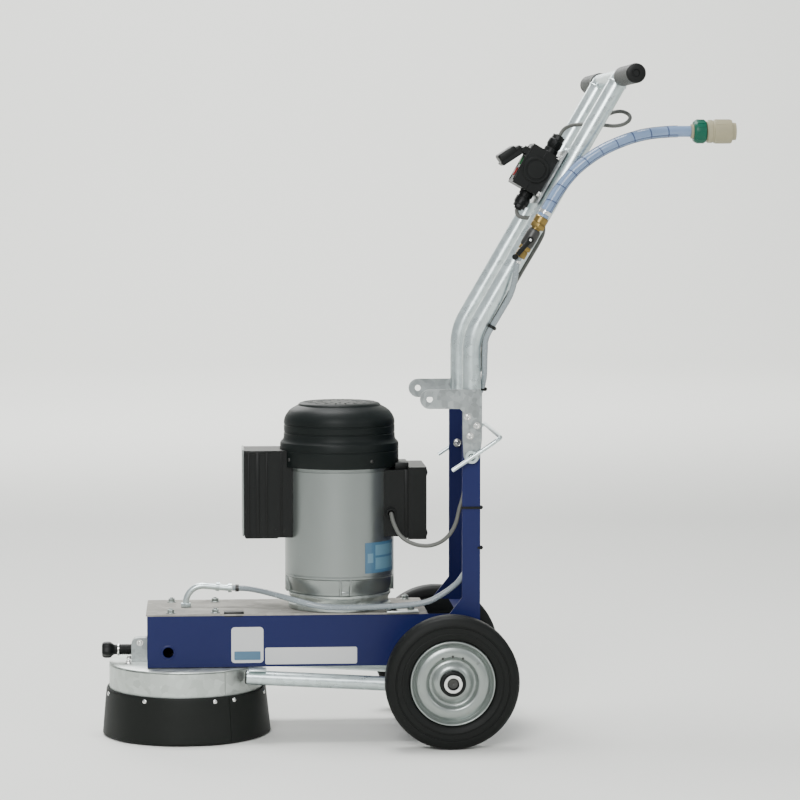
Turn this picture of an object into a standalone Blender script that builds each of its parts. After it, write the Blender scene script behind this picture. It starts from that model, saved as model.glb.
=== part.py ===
# Walk-behind single-disc concrete grinder: vertical motor, belt-driven disc head,
# two solid wheels, folding handle with switch box and water feed.
# Run with:  blender --background --python part.py
# Metres. +X points to the rear (handle side), +Y to the far side, +Z up.
# The model is laid out from the wheel axle at X = 0 and hangs from one empty,
# which brings the middle of its length to the origin.

import bpy
import bmesh
import math
from mathutils import Matrix, Vector

# ---- clearances ---------------------------------------------------------
GAP = 0.0003              # between pieces that touch
RUNNING = 0.0008          # between pieces that turn past each other

# ---- wheels and axle ----------------------------------------------------
WHEEL_R = 0.114
WHEEL_WIDTH = 0.046
WHEEL_OUTER_Y = 0.210     # outer side of a tyre from the middle plane
RIM_R = 0.072
BUSH_R = 0.022
AXLE_R = 0.010
AXLE_HEAD_R = 0.0155
SHEET = 0.003             # sheet steel of frame, guard and plates

# ---- grinding head ------------------------------------------------------
HEAD_X = -0.450           # spindle axis
DISC_R = 0.125
DISC_THICK = 0.008
SEGMENT_HEIGHT = 0.010
SEGMENT_COUNT = 10
GUARD_R = 0.1335
GUARD_TOP_Z = 0.1257
GUARD_BOTTOM_Z = 0.065
SPLIT_ANGLE = 60          # front guard segment starts here, degrees off the rear
SKIRT_TOP_Z = 0.082
SKIRT_BOTTOM_Z = 0.002
SKIRT_FLARE_R = 0.1475
SKIRT_THICK = 0.004
SPINDLE_R = 0.015
HOUSING_R = 0.042

# ---- chassis ------------------------------------------------------------
CHASSIS_FRONT_X = -0.516
CHASSIS_HALF_WIDTH = 0.088
CHASSIS_FLOOR_Z = 0.1270
CHASSIS_TOP_Z = 0.2155
CHASSIS_LIP = 0.026       # inward lip along the top edges
DECK_REAR_X = -0.035
LIFT_HOLE_R = 0.010

# ---- belt drive ---------------------------------------------------------
MOTOR_X = -0.182
MOTOR_PULLEY_R = 0.035
SPINDLE_PULLEY_R = 0.050
PULLEY_FLANGE = 0.005
PULLEY_LOW_Z = 0.142
PULLEY_HIGH_Z = 0.172
BELT_WIDTH = 0.022
BELT_THICK = 0.005

# ---- motor --------------------------------------------------------------
MOTOR_R = 0.095
BARREL_WALL = 0.0045
FLANGE_R = 0.0893
FLANGE_TOP_Z = 0.247
BARREL_TOP_Z = 0.470
MOTOR_SHAFT_R = 0.012
BEARING_R = 0.026
ROTOR_R = 0.050
COWL_R = 0.1033
COWL_NECK_R = 0.0966
COWL_TOP_Z = 0.577
COWL_WALL = 0.003
FAN_R = 0.085
CAPACITOR_HALF_WIDTH = 0.047
TERMINAL_HALF_WIDTH = 0.060

# ---- column -------------------------------------------------------------
COLUMN_FRONT_X = 0.021
COLUMN_REAR_X = 0.052
COLUMN_TOP_Z = 0.573
COLUMN_HALF_WIDTH = 0.1365
PIVOT = Vector((0.0365, 0.0, 0.4915))   # handle and bail turn here
PIVOT_BOLT_R = 0.005

# ---- handle -------------------------------------------------------------
HANDLE_X = 0.038
HANDLE_BEND_Z = 0.696
HANDLE_LEAN = math.radians(30)
HANDLE_BEND_RADIUS = 0.10
HANDLE_TOP_Z = 1.1355     # centre of the cross tube
TUBE_R = 0.016
TUBE_WALL = 0.0022
CROSS_R = 0.0135
GRIP_R = 0.0165
GRIP_LENGTH = 0.150
GRIP_END_Y = 0.295
EAR_HOLE = (-0.0348, 0.5902)
BAIL_R = 0.0035

# ---- switch, water and cables -------------------------------------------
SWITCH_LENGTH = 0.075
SWITCH_DEPTH = 0.050
SWITCH_LOW_T = 0.263      # distance of the box's lower end up the leaning tube
SWITCH_NEAR_Y = -0.100
SWITCH_WIDTH = 0.075
BUTTON_R = 0.008
BUTTON_TRAVEL = 0.003
GLAND_R = 0.011
CABLE_R = 0.0035
LEAD_R = 0.0033
HOSE_R = 0.005
TAIL_R = 0.0095
VALVE_Y = -0.152

# ---- sizes that follow from the ones above ------------------------------
WHEEL_Y = WHEEL_OUTER_Y - WHEEL_WIDTH / 2
TUBE_Y = COLUMN_HALF_WIDTH - TUBE_R
PLATE_Y = COLUMN_HALF_WIDTH + GAP + SHEET / 2
DECK_LOW_Z = CHASSIS_TOP_Z + GAP
DECK_TOP_Z = DECK_LOW_Z + SHEET
WEB_X = COLUMN_REAR_X - SHEET / 2
CHASSIS_REAR_X = COLUMN_REAR_X - SHEET - GAP
DISC_TOP_Z = SEGMENT_HEIGHT + GAP + DISC_THICK
TOP_T = (HANDLE_TOP_Z - HANDLE_BEND_Z) / math.cos(HANDLE_LEAN)
UP = Vector((math.sin(HANDLE_LEAN), 0, math.cos(HANDLE_LEAN)))
OUT = Vector((-math.cos(HANDLE_LEAN), 0, math.sin(HANDLE_LEAN)))
BEND = Vector((HANDLE_X, 0, HANDLE_BEND_Z))
CROSS_X = (BEND + UP * TOP_T).x
MIDDLE_X = ((HEAD_X - SKIRT_FLARE_R) + (CROSS_X + GRIP_R)) / 2
SWITCH_Y = SWITCH_NEAR_Y + SWITCH_WIDTH / 2
SWITCH_BACK = TUBE_R + GAP + SHEET + GAP
SWITCH_FACE = SWITCH_BACK + SWITCH_DEPTH
GLAND_OUT = SWITCH_BACK + 0.0155
STRUT_R = 0.0125
STRUT_Y = 0.100

for item in list(bpy.data.objects):
    bpy.data.objects.remove(item, do_unlink=True)

parts = bpy.data.collections.new("concrete_grinder")
cutters = bpy.data.collections.new("cutters")
bpy.context.scene.collection.children.link(parts)
bpy.context.scene.collection.children.link(cutters)

origin = bpy.data.objects.new("grinder_origin", None)
origin.location = (-MIDDLE_X, 0, 0)
parts.objects.link(origin)


# ---- materials ----------------------------------------------------------
def make_material(name, colour, roughness, metallic):
    material = bpy.data.materials.new(name)
    material.use_nodes = True
    shader = material.node_tree.nodes["Principled BSDF"]
    shader.inputs["Base Color"].default_value = (*colour, 1)
    shader.inputs["Roughness"].default_value = roughness
    shader.inputs["Metallic"].default_value = metallic
    return material


BLUE = make_material("blue_paint", (0.020, 0.035, 0.26), 0.40, 0.0)
ZINC = make_material("galvanised", (0.62, 0.66, 0.66), 0.38, 0.9)
STEEL = make_material("steel", (0.55, 0.55, 0.54), 0.30, 1.0)
GREY = make_material("grey_paint", (0.40, 0.41, 0.40), 0.42, 0.2)
BLACK = make_material("black_plastic", (0.020, 0.022, 0.022), 0.45, 0.0)
RUBBER = make_material("rubber", (0.018, 0.018, 0.017), 0.75, 0.0)
IRON = make_material("cast_iron", (0.12, 0.12, 0.12), 0.60, 0.8)
BRASS = make_material("brass", (0.62, 0.45, 0.18), 0.30, 1.0)
COPPER = make_material("copper", (0.60, 0.25, 0.10), 0.40, 1.0)
HOSE = make_material("clear_hose", (0.60, 0.68, 0.78), 0.20, 0.0)
BEIGE = make_material("beige_plastic", (0.70, 0.62, 0.48), 0.50, 0.0)
CABLE = make_material("grey_cable", (0.28, 0.28, 0.27), 0.55, 0.0)
GREEN = make_material("green_plastic", (0.02, 0.30, 0.08), 0.40, 0.0)
RED = make_material("red_plastic", (0.55, 0.02, 0.02), 0.40, 0.0)


# ---- modelling helpers --------------------------------------------------
def add_object(name, data, material, place=(0, 0, 0), turn=None, cutter=False):
    piece = bpy.data.objects.new(name, data)
    (cutters if cutter else parts).objects.link(piece)
    piece.parent = origin
    piece.location = place
    if turn is not None:
        piece.rotation_euler = turn.to_euler()
    if material is not None:
        data.materials.append(material)
    if cutter:
        piece.hide_render = True
        piece.display_type = "WIRE"
    return piece


def facing(direction):
    """Rotation that lays a shape's local Z along a direction."""
    return Vector((0, 0, 1)).rotation_difference(Vector(direction)).to_matrix()


ALONG_X = facing((1, 0, 0))
ALONG_Y = facing((0, 1, 0))
UPRIGHT_XZ = Matrix.Rotation(math.radians(90), 3, "X")     # outline x, y -> world X, Z
UPRIGHT_YZ = Matrix(((0, 0, 1), (1, 0, 0), (0, 1, 0)))     # outline x, y -> world Y, Z


def smooth(piece, angle=35):
    piece.data.shade_smooth()
    piece.data.set_sharp_from_angle(angle=math.radians(angle))


def turned(name, profile, material, place=(0, 0, 0), turn=None, segments=32, ring=True,
           cutter=False):
    """Profile of (radius, height) points, down its outer side; a ring's last point
    joins its first, and a solid starts and ends on the axis."""
    mesh = bpy.data.meshes.new(name)
    edges = [(i, i + 1) for i in range(len(profile) - 1)]
    if ring:
        edges.append((len(profile) - 1, 0))
    mesh.from_pydata([(r, 0, z) for r, z in profile], edges, [])
    piece = add_object(name, mesh, material, place, turn, cutter)
    screw = piece.modifiers.new("turn", "SCREW")
    screw.steps = screw.render_steps = segments
    screw.use_merge_vertices = True
    screw.merge_threshold = 0.00001
    screw.use_smooth_shade = True
    return piece


def new_mesh(name, build):
    mesh = bpy.data.meshes.new(name)
    bm = bmesh.new()
    build(bm)
    bm.to_mesh(mesh)
    bm.free()
    return mesh


def box(name, low, high, material, turn=None, place=(0, 0, 0), bevel=0, cutter=False):
    """A box between two corners, given in the frame that turn and place set."""
    size = [b - a for a, b in zip(low, high)]
    middle = [(a + b) / 2 for a, b in zip(low, high)]

    def build(bm):
        bmesh.ops.create_cube(bm, size=1)
        bmesh.ops.scale(bm, vec=size, verts=bm.verts)
        bmesh.ops.translate(bm, vec=middle, verts=bm.verts)

    piece = add_object(name, new_mesh(name, build), material, place, turn, cutter)
    if bevel:
        rounding = piece.modifiers.new("bevel", "BEVEL")
        rounding.width = bevel
        rounding.segments = 2
    return piece


def rods(name, items, material, segments=12, cutter=False):
    """Straight round rods (start, end, radius), each a closed body."""
    def build(bm):
        for start, end, radius in items:
            a, b = Vector(start), Vector(end)
            place = Matrix.Translation((a + b) / 2) @ facing(b - a).to_4x4()
            bmesh.ops.create_cone(bm, cap_ends=True, segments=segments, radius1=radius,
                                  radius2=radius, depth=(b - a).length, matrix=place)

    piece = add_object(name, new_mesh(name, build), material, cutter=cutter)
    if not cutter:
        smooth(piece)
    return piece


def plate(name, outlines, thickness, material, place=(0, 0, 0), turn=None, cutter=False):
    """A flat plate: the first outline is its edge, the others are holes."""
    curve = bpy.data.curves.new(name, "CURVE")
    curve.dimensions = "2D"
    curve.fill_mode = "BOTH"
    curve.extrude = thickness / 2
    for outline in outlines:
        spline = curve.splines.new("POLY")
        spline.points.add(len(outline) - 1)
        for point, (u, v) in zip(spline.points, outline):
            point.co = (u, v, 0, 1)
        spline.use_cyclic_u = True
    return add_object(name, curve, material, place, turn, cutter)


def wire(name, routes, radius, material, resolution=2, caps=True):
    """Round wires or tubes that follow lists of points."""
    curve = bpy.data.curves.new(name, "CURVE")
    curve.dimensions = "3D"
    curve.bevel_depth = radius
    curve.bevel_resolution = resolution
    curve.use_fill_caps = caps
    for route in routes:
        spline = curve.splines.new("POLY")
        spline.points.add(len(route) - 1)
        for point, co in zip(spline.points, route):
            point.co = (*co, 1)
    return add_object(name, curve, material)


def meshed(piece):
    """Turns a curve piece into a mesh piece with welded caps."""
    view = bpy.context.evaluated_depsgraph_get()
    mesh = bpy.data.meshes.new_from_object(piece.evaluated_get(view))
    bm = bmesh.new()
    bm.from_mesh(mesh)
    bmesh.ops.remove_doubles(bm, verts=bm.verts, dist=0.00001)
    bm.to_mesh(mesh)
    bm.free()
    name, home = piece.name, piece.users_collection[0]
    fresh = bpy.data.objects.new(name + "_mesh", mesh)
    home.objects.link(fresh)
    fresh.parent = origin
    fresh.location = piece.location
    fresh.rotation_euler = piece.rotation_euler
    fresh.hide_render = piece.hide_render
    fresh.display_type = piece.display_type
    bpy.data.objects.remove(piece, do_unlink=True)
    fresh.name = name
    return fresh


def combine(piece, tool, operation):
    step = piece.modifiers.new(operation.lower(), "BOOLEAN")
    step.operation = operation
    step.object = tool
    return piece


def circle(u, v, radius, count=12):
    """Points of a hole or round outline."""
    return [(u + radius * math.cos(math.tau * i / count),
             v + radius * math.sin(math.tau * i / count)) for i in range(count)]


def arc(u, v, radius, start, end, count):
    """Points along an arc, angles in degrees."""
    steps = [math.radians(start + (end - start) * i / count) for i in range(count + 1)]
    return [(u + radius * math.cos(a), v + radius * math.sin(a)) for a in steps]


def through(points, spacing):
    """Evenly spaced points on a smooth curve through hand-chosen ones. The first and the
    last leg stay straight, where the run enters a fitting."""
    knots = [Vector(p) for p in points]
    fine = []
    for a, b, c, d in zip(knots, knots[1:], knots[2:], knots[3:]):
        for i in range(20):
            s = i / 20
            fine.append(0.5 * ((2 * b) + (c - a) * s + (2 * a - 5 * b + 4 * c - d) * s * s
                               + (3 * b - a - 3 * c + d) * s ** 3))
    fine.append(knots[-2])
    total = sum((q - p).length for p, q in zip(fine, fine[1:]))
    count = max(2, round(total / spacing))
    result, walked, wanted = [knots[0], fine[0]], 0.0, total / count
    for p, q in zip(fine, fine[1:]):
        step = (q - p).length
        while walked + step >= wanted - 1e-9 and len(result) < count + 1:
            result.append(p.lerp(q, (wanted - walked) / step))
            wanted += total / count
        walked += step
    return result + [fine[-1], knots[-1]]


def on_handle(t, n, y):
    """A point t up the leaning tube, n out of its front, y across."""
    return BEND + UP * t + OUT * n + Vector((0, y, 0))


def rounded(points_and_radii, steps=3):
    """A polygon whose corners are rounded: (u, v, radius) for each corner."""
    result = []
    count = len(points_and_radii)
    for i, (u, v, radius) in enumerate(points_and_radii):
        corner = Vector((u, v))
        if not radius:
            result.append((u, v))
            continue
        before = Vector(points_and_radii[i - 1][:2]) - corner
        after = Vector(points_and_radii[(i + 1) % count][:2]) - corner
        reach = radius / math.tan(before.angle(after) / 2)
        a = corner + before.normalized() * reach
        b = corner + after.normalized() * reach
        for k in range(steps + 1):
            s = k / steps
            result.append(tuple(a * (1 - s) ** 2 + corner * 2 * s * (1 - s) + b * s ** 2))
    return result


# ---- chassis ------------------------------------------------------------
def build_chassis():
    wide, floor, top = CHASSIS_HALF_WIDTH, CHASSIS_FLOOR_Z, CHASSIS_TOP_Z
    tray = box("chassis_tray", (CHASSIS_FRONT_X, -wide, floor), (CHASSIS_REAR_X, wide, top), BLUE)
    inside = box("tray_inside", (CHASSIS_FRONT_X + SHEET, -wide + SHEET, floor + SHEET),
                 (CHASSIS_REAR_X - SHEET, wide - SHEET, top - SHEET), None, cutter=True)
    mouth = box("tray_mouth", (CHASSIS_FRONT_X + SHEET, -wide + CHASSIS_LIP, floor + 2 * SHEET),
                (DECK_REAR_X - 0.020, wide - CHASSIS_LIP, top + SHEET), None, cutter=True)
    holes = [((-0.480, -wide - SHEET, 0.153), (-0.480, wide + SHEET, 0.153), LIFT_HOLE_R),
             ((HEAD_X, 0, floor - SHEET), (HEAD_X, 0, floor + 2 * SHEET), HOUSING_R + 0.0015)]
    drill = rods("tray_holes", holes, None, segments=20, cutter=True)
    combine(tray, inside, "DIFFERENCE")
    combine(tray, mouth, "DIFFERENCE")
    combine(tray, drill, "DIFFERENCE")

    edge = CHASSIS_HALF_WIDTH + 0.0005
    front = CHASSIS_FRONT_X - 0.002
    middle = (DECK_LOW_Z + DECK_TOP_Z) / 2
    outlines = [rounded([(front, -edge, 0.004), (DECK_REAR_X, -edge, 0.004),
                         (DECK_REAR_X, edge, 0.004), (front, edge, 0.004)]),
                circle(MOTOR_X, 0, FLANGE_R - 0.034, 24),
                circle(HEAD_X, 0, 0.009, 12)]
    plate("deck_plate", outlines, SHEET, ZINC, place=(0, 0, middle))


def build_column():
    wide = COLUMN_HALF_WIDTH - SHEET / 2
    foot, base = -0.022, 0.085
    side = rounded([(foot, base, 0.012), (COLUMN_REAR_X, base, 0.004),
                    (COLUMN_REAR_X, COLUMN_TOP_Z, 0), (COLUMN_FRONT_X, COLUMN_TOP_Z, 0),
                    (COLUMN_FRONT_X, 0.250, 0), (foot, 0.195, 0.008)])
    holes = [circle(0, WHEEL_R, AXLE_R + RUNNING, 16),
             circle(PIVOT.x, PIVOT.z, PIVOT_BOLT_R + RUNNING, 10)]
    column = meshed(plate("column", [side] + holes, SHEET, BLUE))
    lay_in_pair(column, UPRIGHT_XZ, wide)
    inner = COLUMN_HALF_WIDTH - SHEET / 2
    web = [(-inner, base + 0.004), (inner, base + 0.004), (inner, COLUMN_TOP_Z), (-inner, COLUMN_TOP_Z)]
    back = meshed(plate("column_web", [web], SHEET, None, (WEB_X, 0, 0), UPRIGHT_YZ, cutter=True))
    combine(column, back, "UNION")


def lay_in_pair(piece, turn, half_distance):
    """Bakes a flat mesh's turn and makes it a pair, one at each side of the machine."""
    bm = bmesh.new()
    bm.from_mesh(piece.data)
    bmesh.ops.transform(bm, matrix=turn.to_4x4(), verts=bm.verts)
    other = bmesh.ops.duplicate(bm, geom=bm.verts[:] + bm.edges[:] + bm.faces[:])["geom"]
    moved = [v for v in other if isinstance(v, bmesh.types.BMVert)]
    kept = [v for v in bm.verts if v not in set(moved)]
    bmesh.ops.translate(bm, vec=(0, -half_distance, 0), verts=kept)
    bmesh.ops.translate(bm, vec=(0, half_distance, 0), verts=moved)
    bm.to_mesh(piece.data)
    bm.free()


# ---- wheels -------------------------------------------------------------
def build_wheels():
    half = WHEEL_WIDTH / 2
    bore = RIM_R + RUNNING
    tyre = [(WHEEL_R - 0.007, half), (WHEEL_R, half - 0.009), (WHEEL_R, -half + 0.009),
            (WHEEL_R - 0.007, -half), (bore + 0.003, -half + 0.002), (bore, -half + 0.005),
            (bore, half - 0.005), (bore + 0.003, half - 0.002)]
    lip, outside = half - 0.004, half + 0.0005
    foot = COLUMN_HALF_WIDTH + GAP - WHEEL_Y
    bore_r, spacer_r = AXLE_R + RUNNING / 2, AXLE_R + 0.005
    dish = [(RIM_R, lip), (RIM_R, -lip), (RIM_R - 0.003, -lip), (RIM_R - 0.003, 0.0080),
            (BUSH_R, 0.0080), (BUSH_R, -half - 0.0015),
            (spacer_r, -half - 0.0015), (spacer_r, foot), (bore_r, foot), (bore_r, outside),
            (BUSH_R, outside), (BUSH_R, 0.0115), (RIM_R - 0.005, 0.0115), (RIM_R - 0.003, lip)]
    for side, label in ((-1, "near"), (1, "far")):
        place, turn = (0, side * WHEEL_Y, WHEEL_R), facing((0, side, 0))
        turned("tyre_" + label, tyre, RUBBER, place, turn, segments=32)
        turned("rim_" + label, dish, GREY, place, turn, segments=20)

    outside = WHEEL_OUTER_Y + 0.0005
    head = outside + GAP + 0.002
    turned("axle", [(0, head), (AXLE_HEAD_R, head), (AXLE_HEAD_R, outside + GAP),
                    (AXLE_R, outside + GAP), (AXLE_R, -outside - GAP),
                    (AXLE_HEAD_R, -outside - GAP), (AXLE_HEAD_R, -head), (0, -head)],
           STEEL, (0, 0, WHEEL_R), ALONG_Y, segments=20, ring=False)

    slope = math.radians(3.3)
    middle_z = WHEEL_R - AXLE_R - STRUT_R - GAP
    reach = math.sqrt(GUARD_R ** 2 - (STRUT_Y - STRUT_R) ** 2)
    front_x, rear_x = HEAD_X + reach + 0.003, 0.030
    for side, label in ((-1, "near"), (1, "far")):
        line = [(x, side * STRUT_Y, middle_z - x * math.tan(slope)) for x in (front_x, rear_x)]
        strut = meshed(wire("axle_strut_" + label, [line], STRUT_R, ZINC, resolution=3, caps=False))
        solid = strut.modifiers.new("wall", "SOLIDIFY")
        solid.thickness = 0.002
        solid.offset = -1


# ---- grinding head ------------------------------------------------------
SKIRT_SEAM = math.radians(-58)


def build_guard():
    wall = GUARD_R - SHEET
    cup = [(GUARD_R, GUARD_TOP_Z), (GUARD_R, GUARD_BOTTOM_Z), (wall, GUARD_BOTTOM_Z),
           (wall, GUARD_TOP_Z - SHEET), (HOUSING_R + 0.0015, GUARD_TOP_Z - SHEET),
           (HOUSING_R + 0.0015, GUARD_TOP_Z)]
    drum = turned("guard_drum", cup, ZINC, (HEAD_X, 0, 0), segments=36)
    low = GUARD_BOTTOM_Z - SHEET
    high = GUARD_TOP_Z - SHEET - GAP
    pie = [(HEAD_X, 0)] + arc(HEAD_X, 0, GUARD_R * 1.3, SPLIT_ANGLE, 360 - SPLIT_ANGLE, 12)
    mouth = meshed(plate("guard_mouth", [pie], high + GAP - low, None,
                         (0, 0, (low + high + GAP) / 2), cutter=True))
    combine(drum, mouth, "DIFFERENCE")

    slack = math.degrees(GAP / GUARD_R)
    start, end = SPLIT_ANGLE + slack, 360 - SPLIT_ANGLE - slack
    band = arc(HEAD_X, 0, GUARD_R, start, end, 32) + arc(HEAD_X, 0, wall, end, start, 32)
    plate("guard_front_segment", [band], high - GUARD_BOTTOM_Z, ZINC,
          (0, 0, (high + GUARD_BOTTOM_Z) / 2))

    inner_r = GUARD_R + RUNNING
    top_r = inner_r + SKIRT_THICK
    skirt = turned("rubber_skirt", [(top_r, SKIRT_TOP_Z), (SKIRT_FLARE_R, SKIRT_BOTTOM_Z),
                                    (SKIRT_FLARE_R - SKIRT_THICK, SKIRT_BOTTOM_Z),
                                    (inner_r, GUARD_BOTTOM_Z), (inner_r, SKIRT_TOP_Z)],
                   RUBBER, (HEAD_X, 0, 0), segments=36)

    seam = Matrix.Translation((HEAD_X, 0, SKIRT_TOP_Z / 2)) @ Matrix.Rotation(SKIRT_SEAM, 4, "Z")
    seam = seam @ Matrix.Translation((GUARD_R, 0, 0)) @ Matrix.Diagonal((0.06, 0.0008, 0.12, 1))

    def slit(bm):
        bmesh.ops.create_cube(bm, size=1, matrix=seam)

    combine(skirt, add_object("skirt_seam", new_mesh("skirt_seam", slit), None, cutter=True),
            "DIFFERENCE")


def build_spindle():
    low, seat = 0.046, CHASSIS_FLOOR_Z + SHEET + GAP
    high = seat + 0.008
    bore, bearing = BEARING_R + 0.004 + GAP, BEARING_R + 0.004
    turned("spindle_housing", [(0.058, high), (0.058, seat), (HOUSING_R, seat), (HOUSING_R, low),
                               (bore, low), (bore, high)], IRON, (HEAD_X, 0, 0), segments=28)
    top = 0.180
    flange = DISC_TOP_Z + GAP
    turned("spindle_shaft", [(0.006, top), (SPINDLE_R, top), (SPINDLE_R, low - 0.003),
                             (0.060, low - 0.003 - 0.012), (0.060, flange), (0.006, flange)],
           STEEL, (HEAD_X, 0, 0), segments=24)
    turned("spindle_pulley", pulley_profile(SPINDLE_PULLEY_R, SPINDLE_R + GAP), IRON,
           (HEAD_X, 0, 0), segments=28)
    disc = turned("grinding_disc", [(DISC_R, DISC_TOP_Z), (DISC_R, DISC_TOP_Z - DISC_THICK),
                                    (0.020, DISC_TOP_Z - DISC_THICK), (0.020, DISC_TOP_Z)],
                  STEEL, (HEAD_X, 0, 0), segments=32)

    def segments(bm):
        for i in range(SEGMENT_COUNT):
            turn = Matrix.Translation((HEAD_X, 0, SEGMENT_HEIGHT / 2 + 0.001))
            turn = turn @ Matrix.Rotation(math.tau * i / SEGMENT_COUNT, 4, "Z")
            turn = turn @ Matrix.Translation((DISC_R - 0.022, 0, 0))
            turn = turn @ Matrix.Diagonal((0.034, 0.016, SEGMENT_HEIGHT + 0.002, 1))
            bmesh.ops.create_cube(bm, size=1, matrix=turn)

    combine(disc, add_object("diamond_segments", new_mesh("diamond_segments", segments), None,
                             cutter=True), "UNION")

    def bearing_ring(name, x, z, depth, outer, shaft):
        turned(name, [(outer, z + depth), (outer, z), (shaft + GAP, z), (shaft + GAP, z + depth)],
               STEEL, (x, 0, 0), segments=16)

    bearing_ring("spindle_bearing_low", HEAD_X, low + 0.004, 0.012, bearing, SPINDLE_R)
    bearing_ring("spindle_bearing_high", HEAD_X, high - 0.016, 0.012, bearing, SPINDLE_R)
    bearing_ring("motor_bearing_low", MOTOR_X, FLANGE_TOP_Z + 0.001, 0.010, BEARING_R, MOTOR_SHAFT_R)
    bearing_ring("motor_bearing_high", MOTOR_X, BARREL_TOP_Z + 0.001, 0.010, BEARING_R,
                 MOTOR_SHAFT_R)


def pulley_profile(radius, bore):
    low, high, rim = PULLEY_LOW_Z, PULLEY_HIGH_Z, radius + PULLEY_FLANGE
    return [(rim, high), (rim, high - 0.003), (radius, high - 0.003), (radius, low + 0.003),
            (rim, low + 0.003), (rim, low), (bore, low), (bore, high)]


def belt_loop(offset):
    """Outline of the belt, offset out from both pulleys."""
    small, large = MOTOR_PULLEY_R + offset, SPINDLE_PULLEY_R + offset
    lean = math.degrees(math.acos((large - small) / (MOTOR_X - HEAD_X)))
    return (arc(HEAD_X, 0, large, lean, 360 - lean, 24)
            + arc(MOTOR_X, 0, small, -lean, lean, 18))


def build_drive():
    middle = (PULLEY_LOW_Z + PULLEY_HIGH_Z) / 2
    slack = RUNNING + 0.0012
    plate("drive_belt", [belt_loop(slack + BELT_THICK), belt_loop(slack)], BELT_WIDTH, RUBBER,
          (0, 0, middle))
    place = (MOTOR_X, 0, 0)
    turned("motor_pulley", pulley_profile(MOTOR_PULLEY_R, MOTOR_SHAFT_R + GAP), IRON, place)
    turned("motor_rotor", [(0, 0.528), (MOTOR_SHAFT_R, 0.528), (MOTOR_SHAFT_R, 0.420),
                           (ROTOR_R, 0.420), (ROTOR_R, 0.292), (MOTOR_SHAFT_R, 0.292),
                           (MOTOR_SHAFT_R, 0.140), (0, 0.140)],
           STEEL, place, segments=24, ring=False)


def build_motor():
    place = (MOTOR_X, 0, 0)
    inner = MOTOR_R - BARREL_WALL
    floor = FLANGE_TOP_Z + GAP
    turned("motor_flange", [(FLANGE_R, FLANGE_TOP_Z), (FLANGE_R, DECK_TOP_Z + GAP),
                            (FLANGE_R - 0.034, DECK_TOP_Z + GAP), (FLANGE_R - 0.034, FLANGE_TOP_Z)],
           ZINC, place, segments=32)
    turned("motor_barrel", [(MOTOR_R, BARREL_TOP_Z), (MOTOR_R, 0.276), (0.087, 0.250),
                            (0.087, floor), (BEARING_R + GAP, floor), (BEARING_R + GAP, floor + 0.011),
                            (0.080, floor + 0.011), (inner, 0.282), (inner, BARREL_TOP_Z - 0.008),
                            (BEARING_R + GAP, BARREL_TOP_Z - 0.008), (BEARING_R + GAP, 0.482),
                            (BEARING_R + 0.006, 0.482), (BEARING_R + 0.009, BARREL_TOP_Z)],
           GREY, place, segments=32)
    turned("motor_stator", [(inner - RUNNING, 0.426), (inner - RUNNING, 0.286), (ROTOR_R + RUNNING, 0.286),
                            (ROTOR_R + RUNNING, 0.426)], COPPER, place)
    cowl_inside = COWL_R - COWL_WALL
    neck_inside = COWL_NECK_R - COWL_WALL
    turned("fan_cowl", [(0, COWL_TOP_Z), (0.066, COWL_TOP_Z), (0.072, 0.574), (0.086, 0.565),
                        (COWL_NECK_R, 0.547), (COWL_NECK_R, 0.513), (COWL_R, 0.506),
                        (COWL_R, 0.467), (cowl_inside, 0.467), (cowl_inside, 0.504),
                        (neck_inside, 0.511), (neck_inside, 0.546), (0.084, 0.562),
                        (0.066, COWL_TOP_Z - COWL_WALL), (0, COWL_TOP_Z - COWL_WALL)],
           BLACK, place, segments=32, ring=False)
    fan = turned("cooling_fan", [(FAN_R, 0.491), (FAN_R, 0.488), (MOTOR_SHAFT_R + GAP, 0.488),
                                 (MOTOR_SHAFT_R + GAP, 0.520), (0.026, 0.520), (0.028, 0.491)],
                 BLACK, place, segments=28)

    def blades(bm):
        for i in range(8):
            turn = Matrix.Translation((MOTOR_X, 0, 0.505))
            turn = turn @ Matrix.Rotation(math.tau * i / 8, 4, "Z")
            turn = turn @ Matrix.Translation((0.053, 0, 0))
            bmesh.ops.create_cube(bm, size=1, matrix=turn @ Matrix.Diagonal((0.058, 0.0025, 0.030, 1)))

    combine(fan, add_object("fan_blades", new_mesh("fan_blades", blades), None, cutter=True), "UNION")


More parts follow.
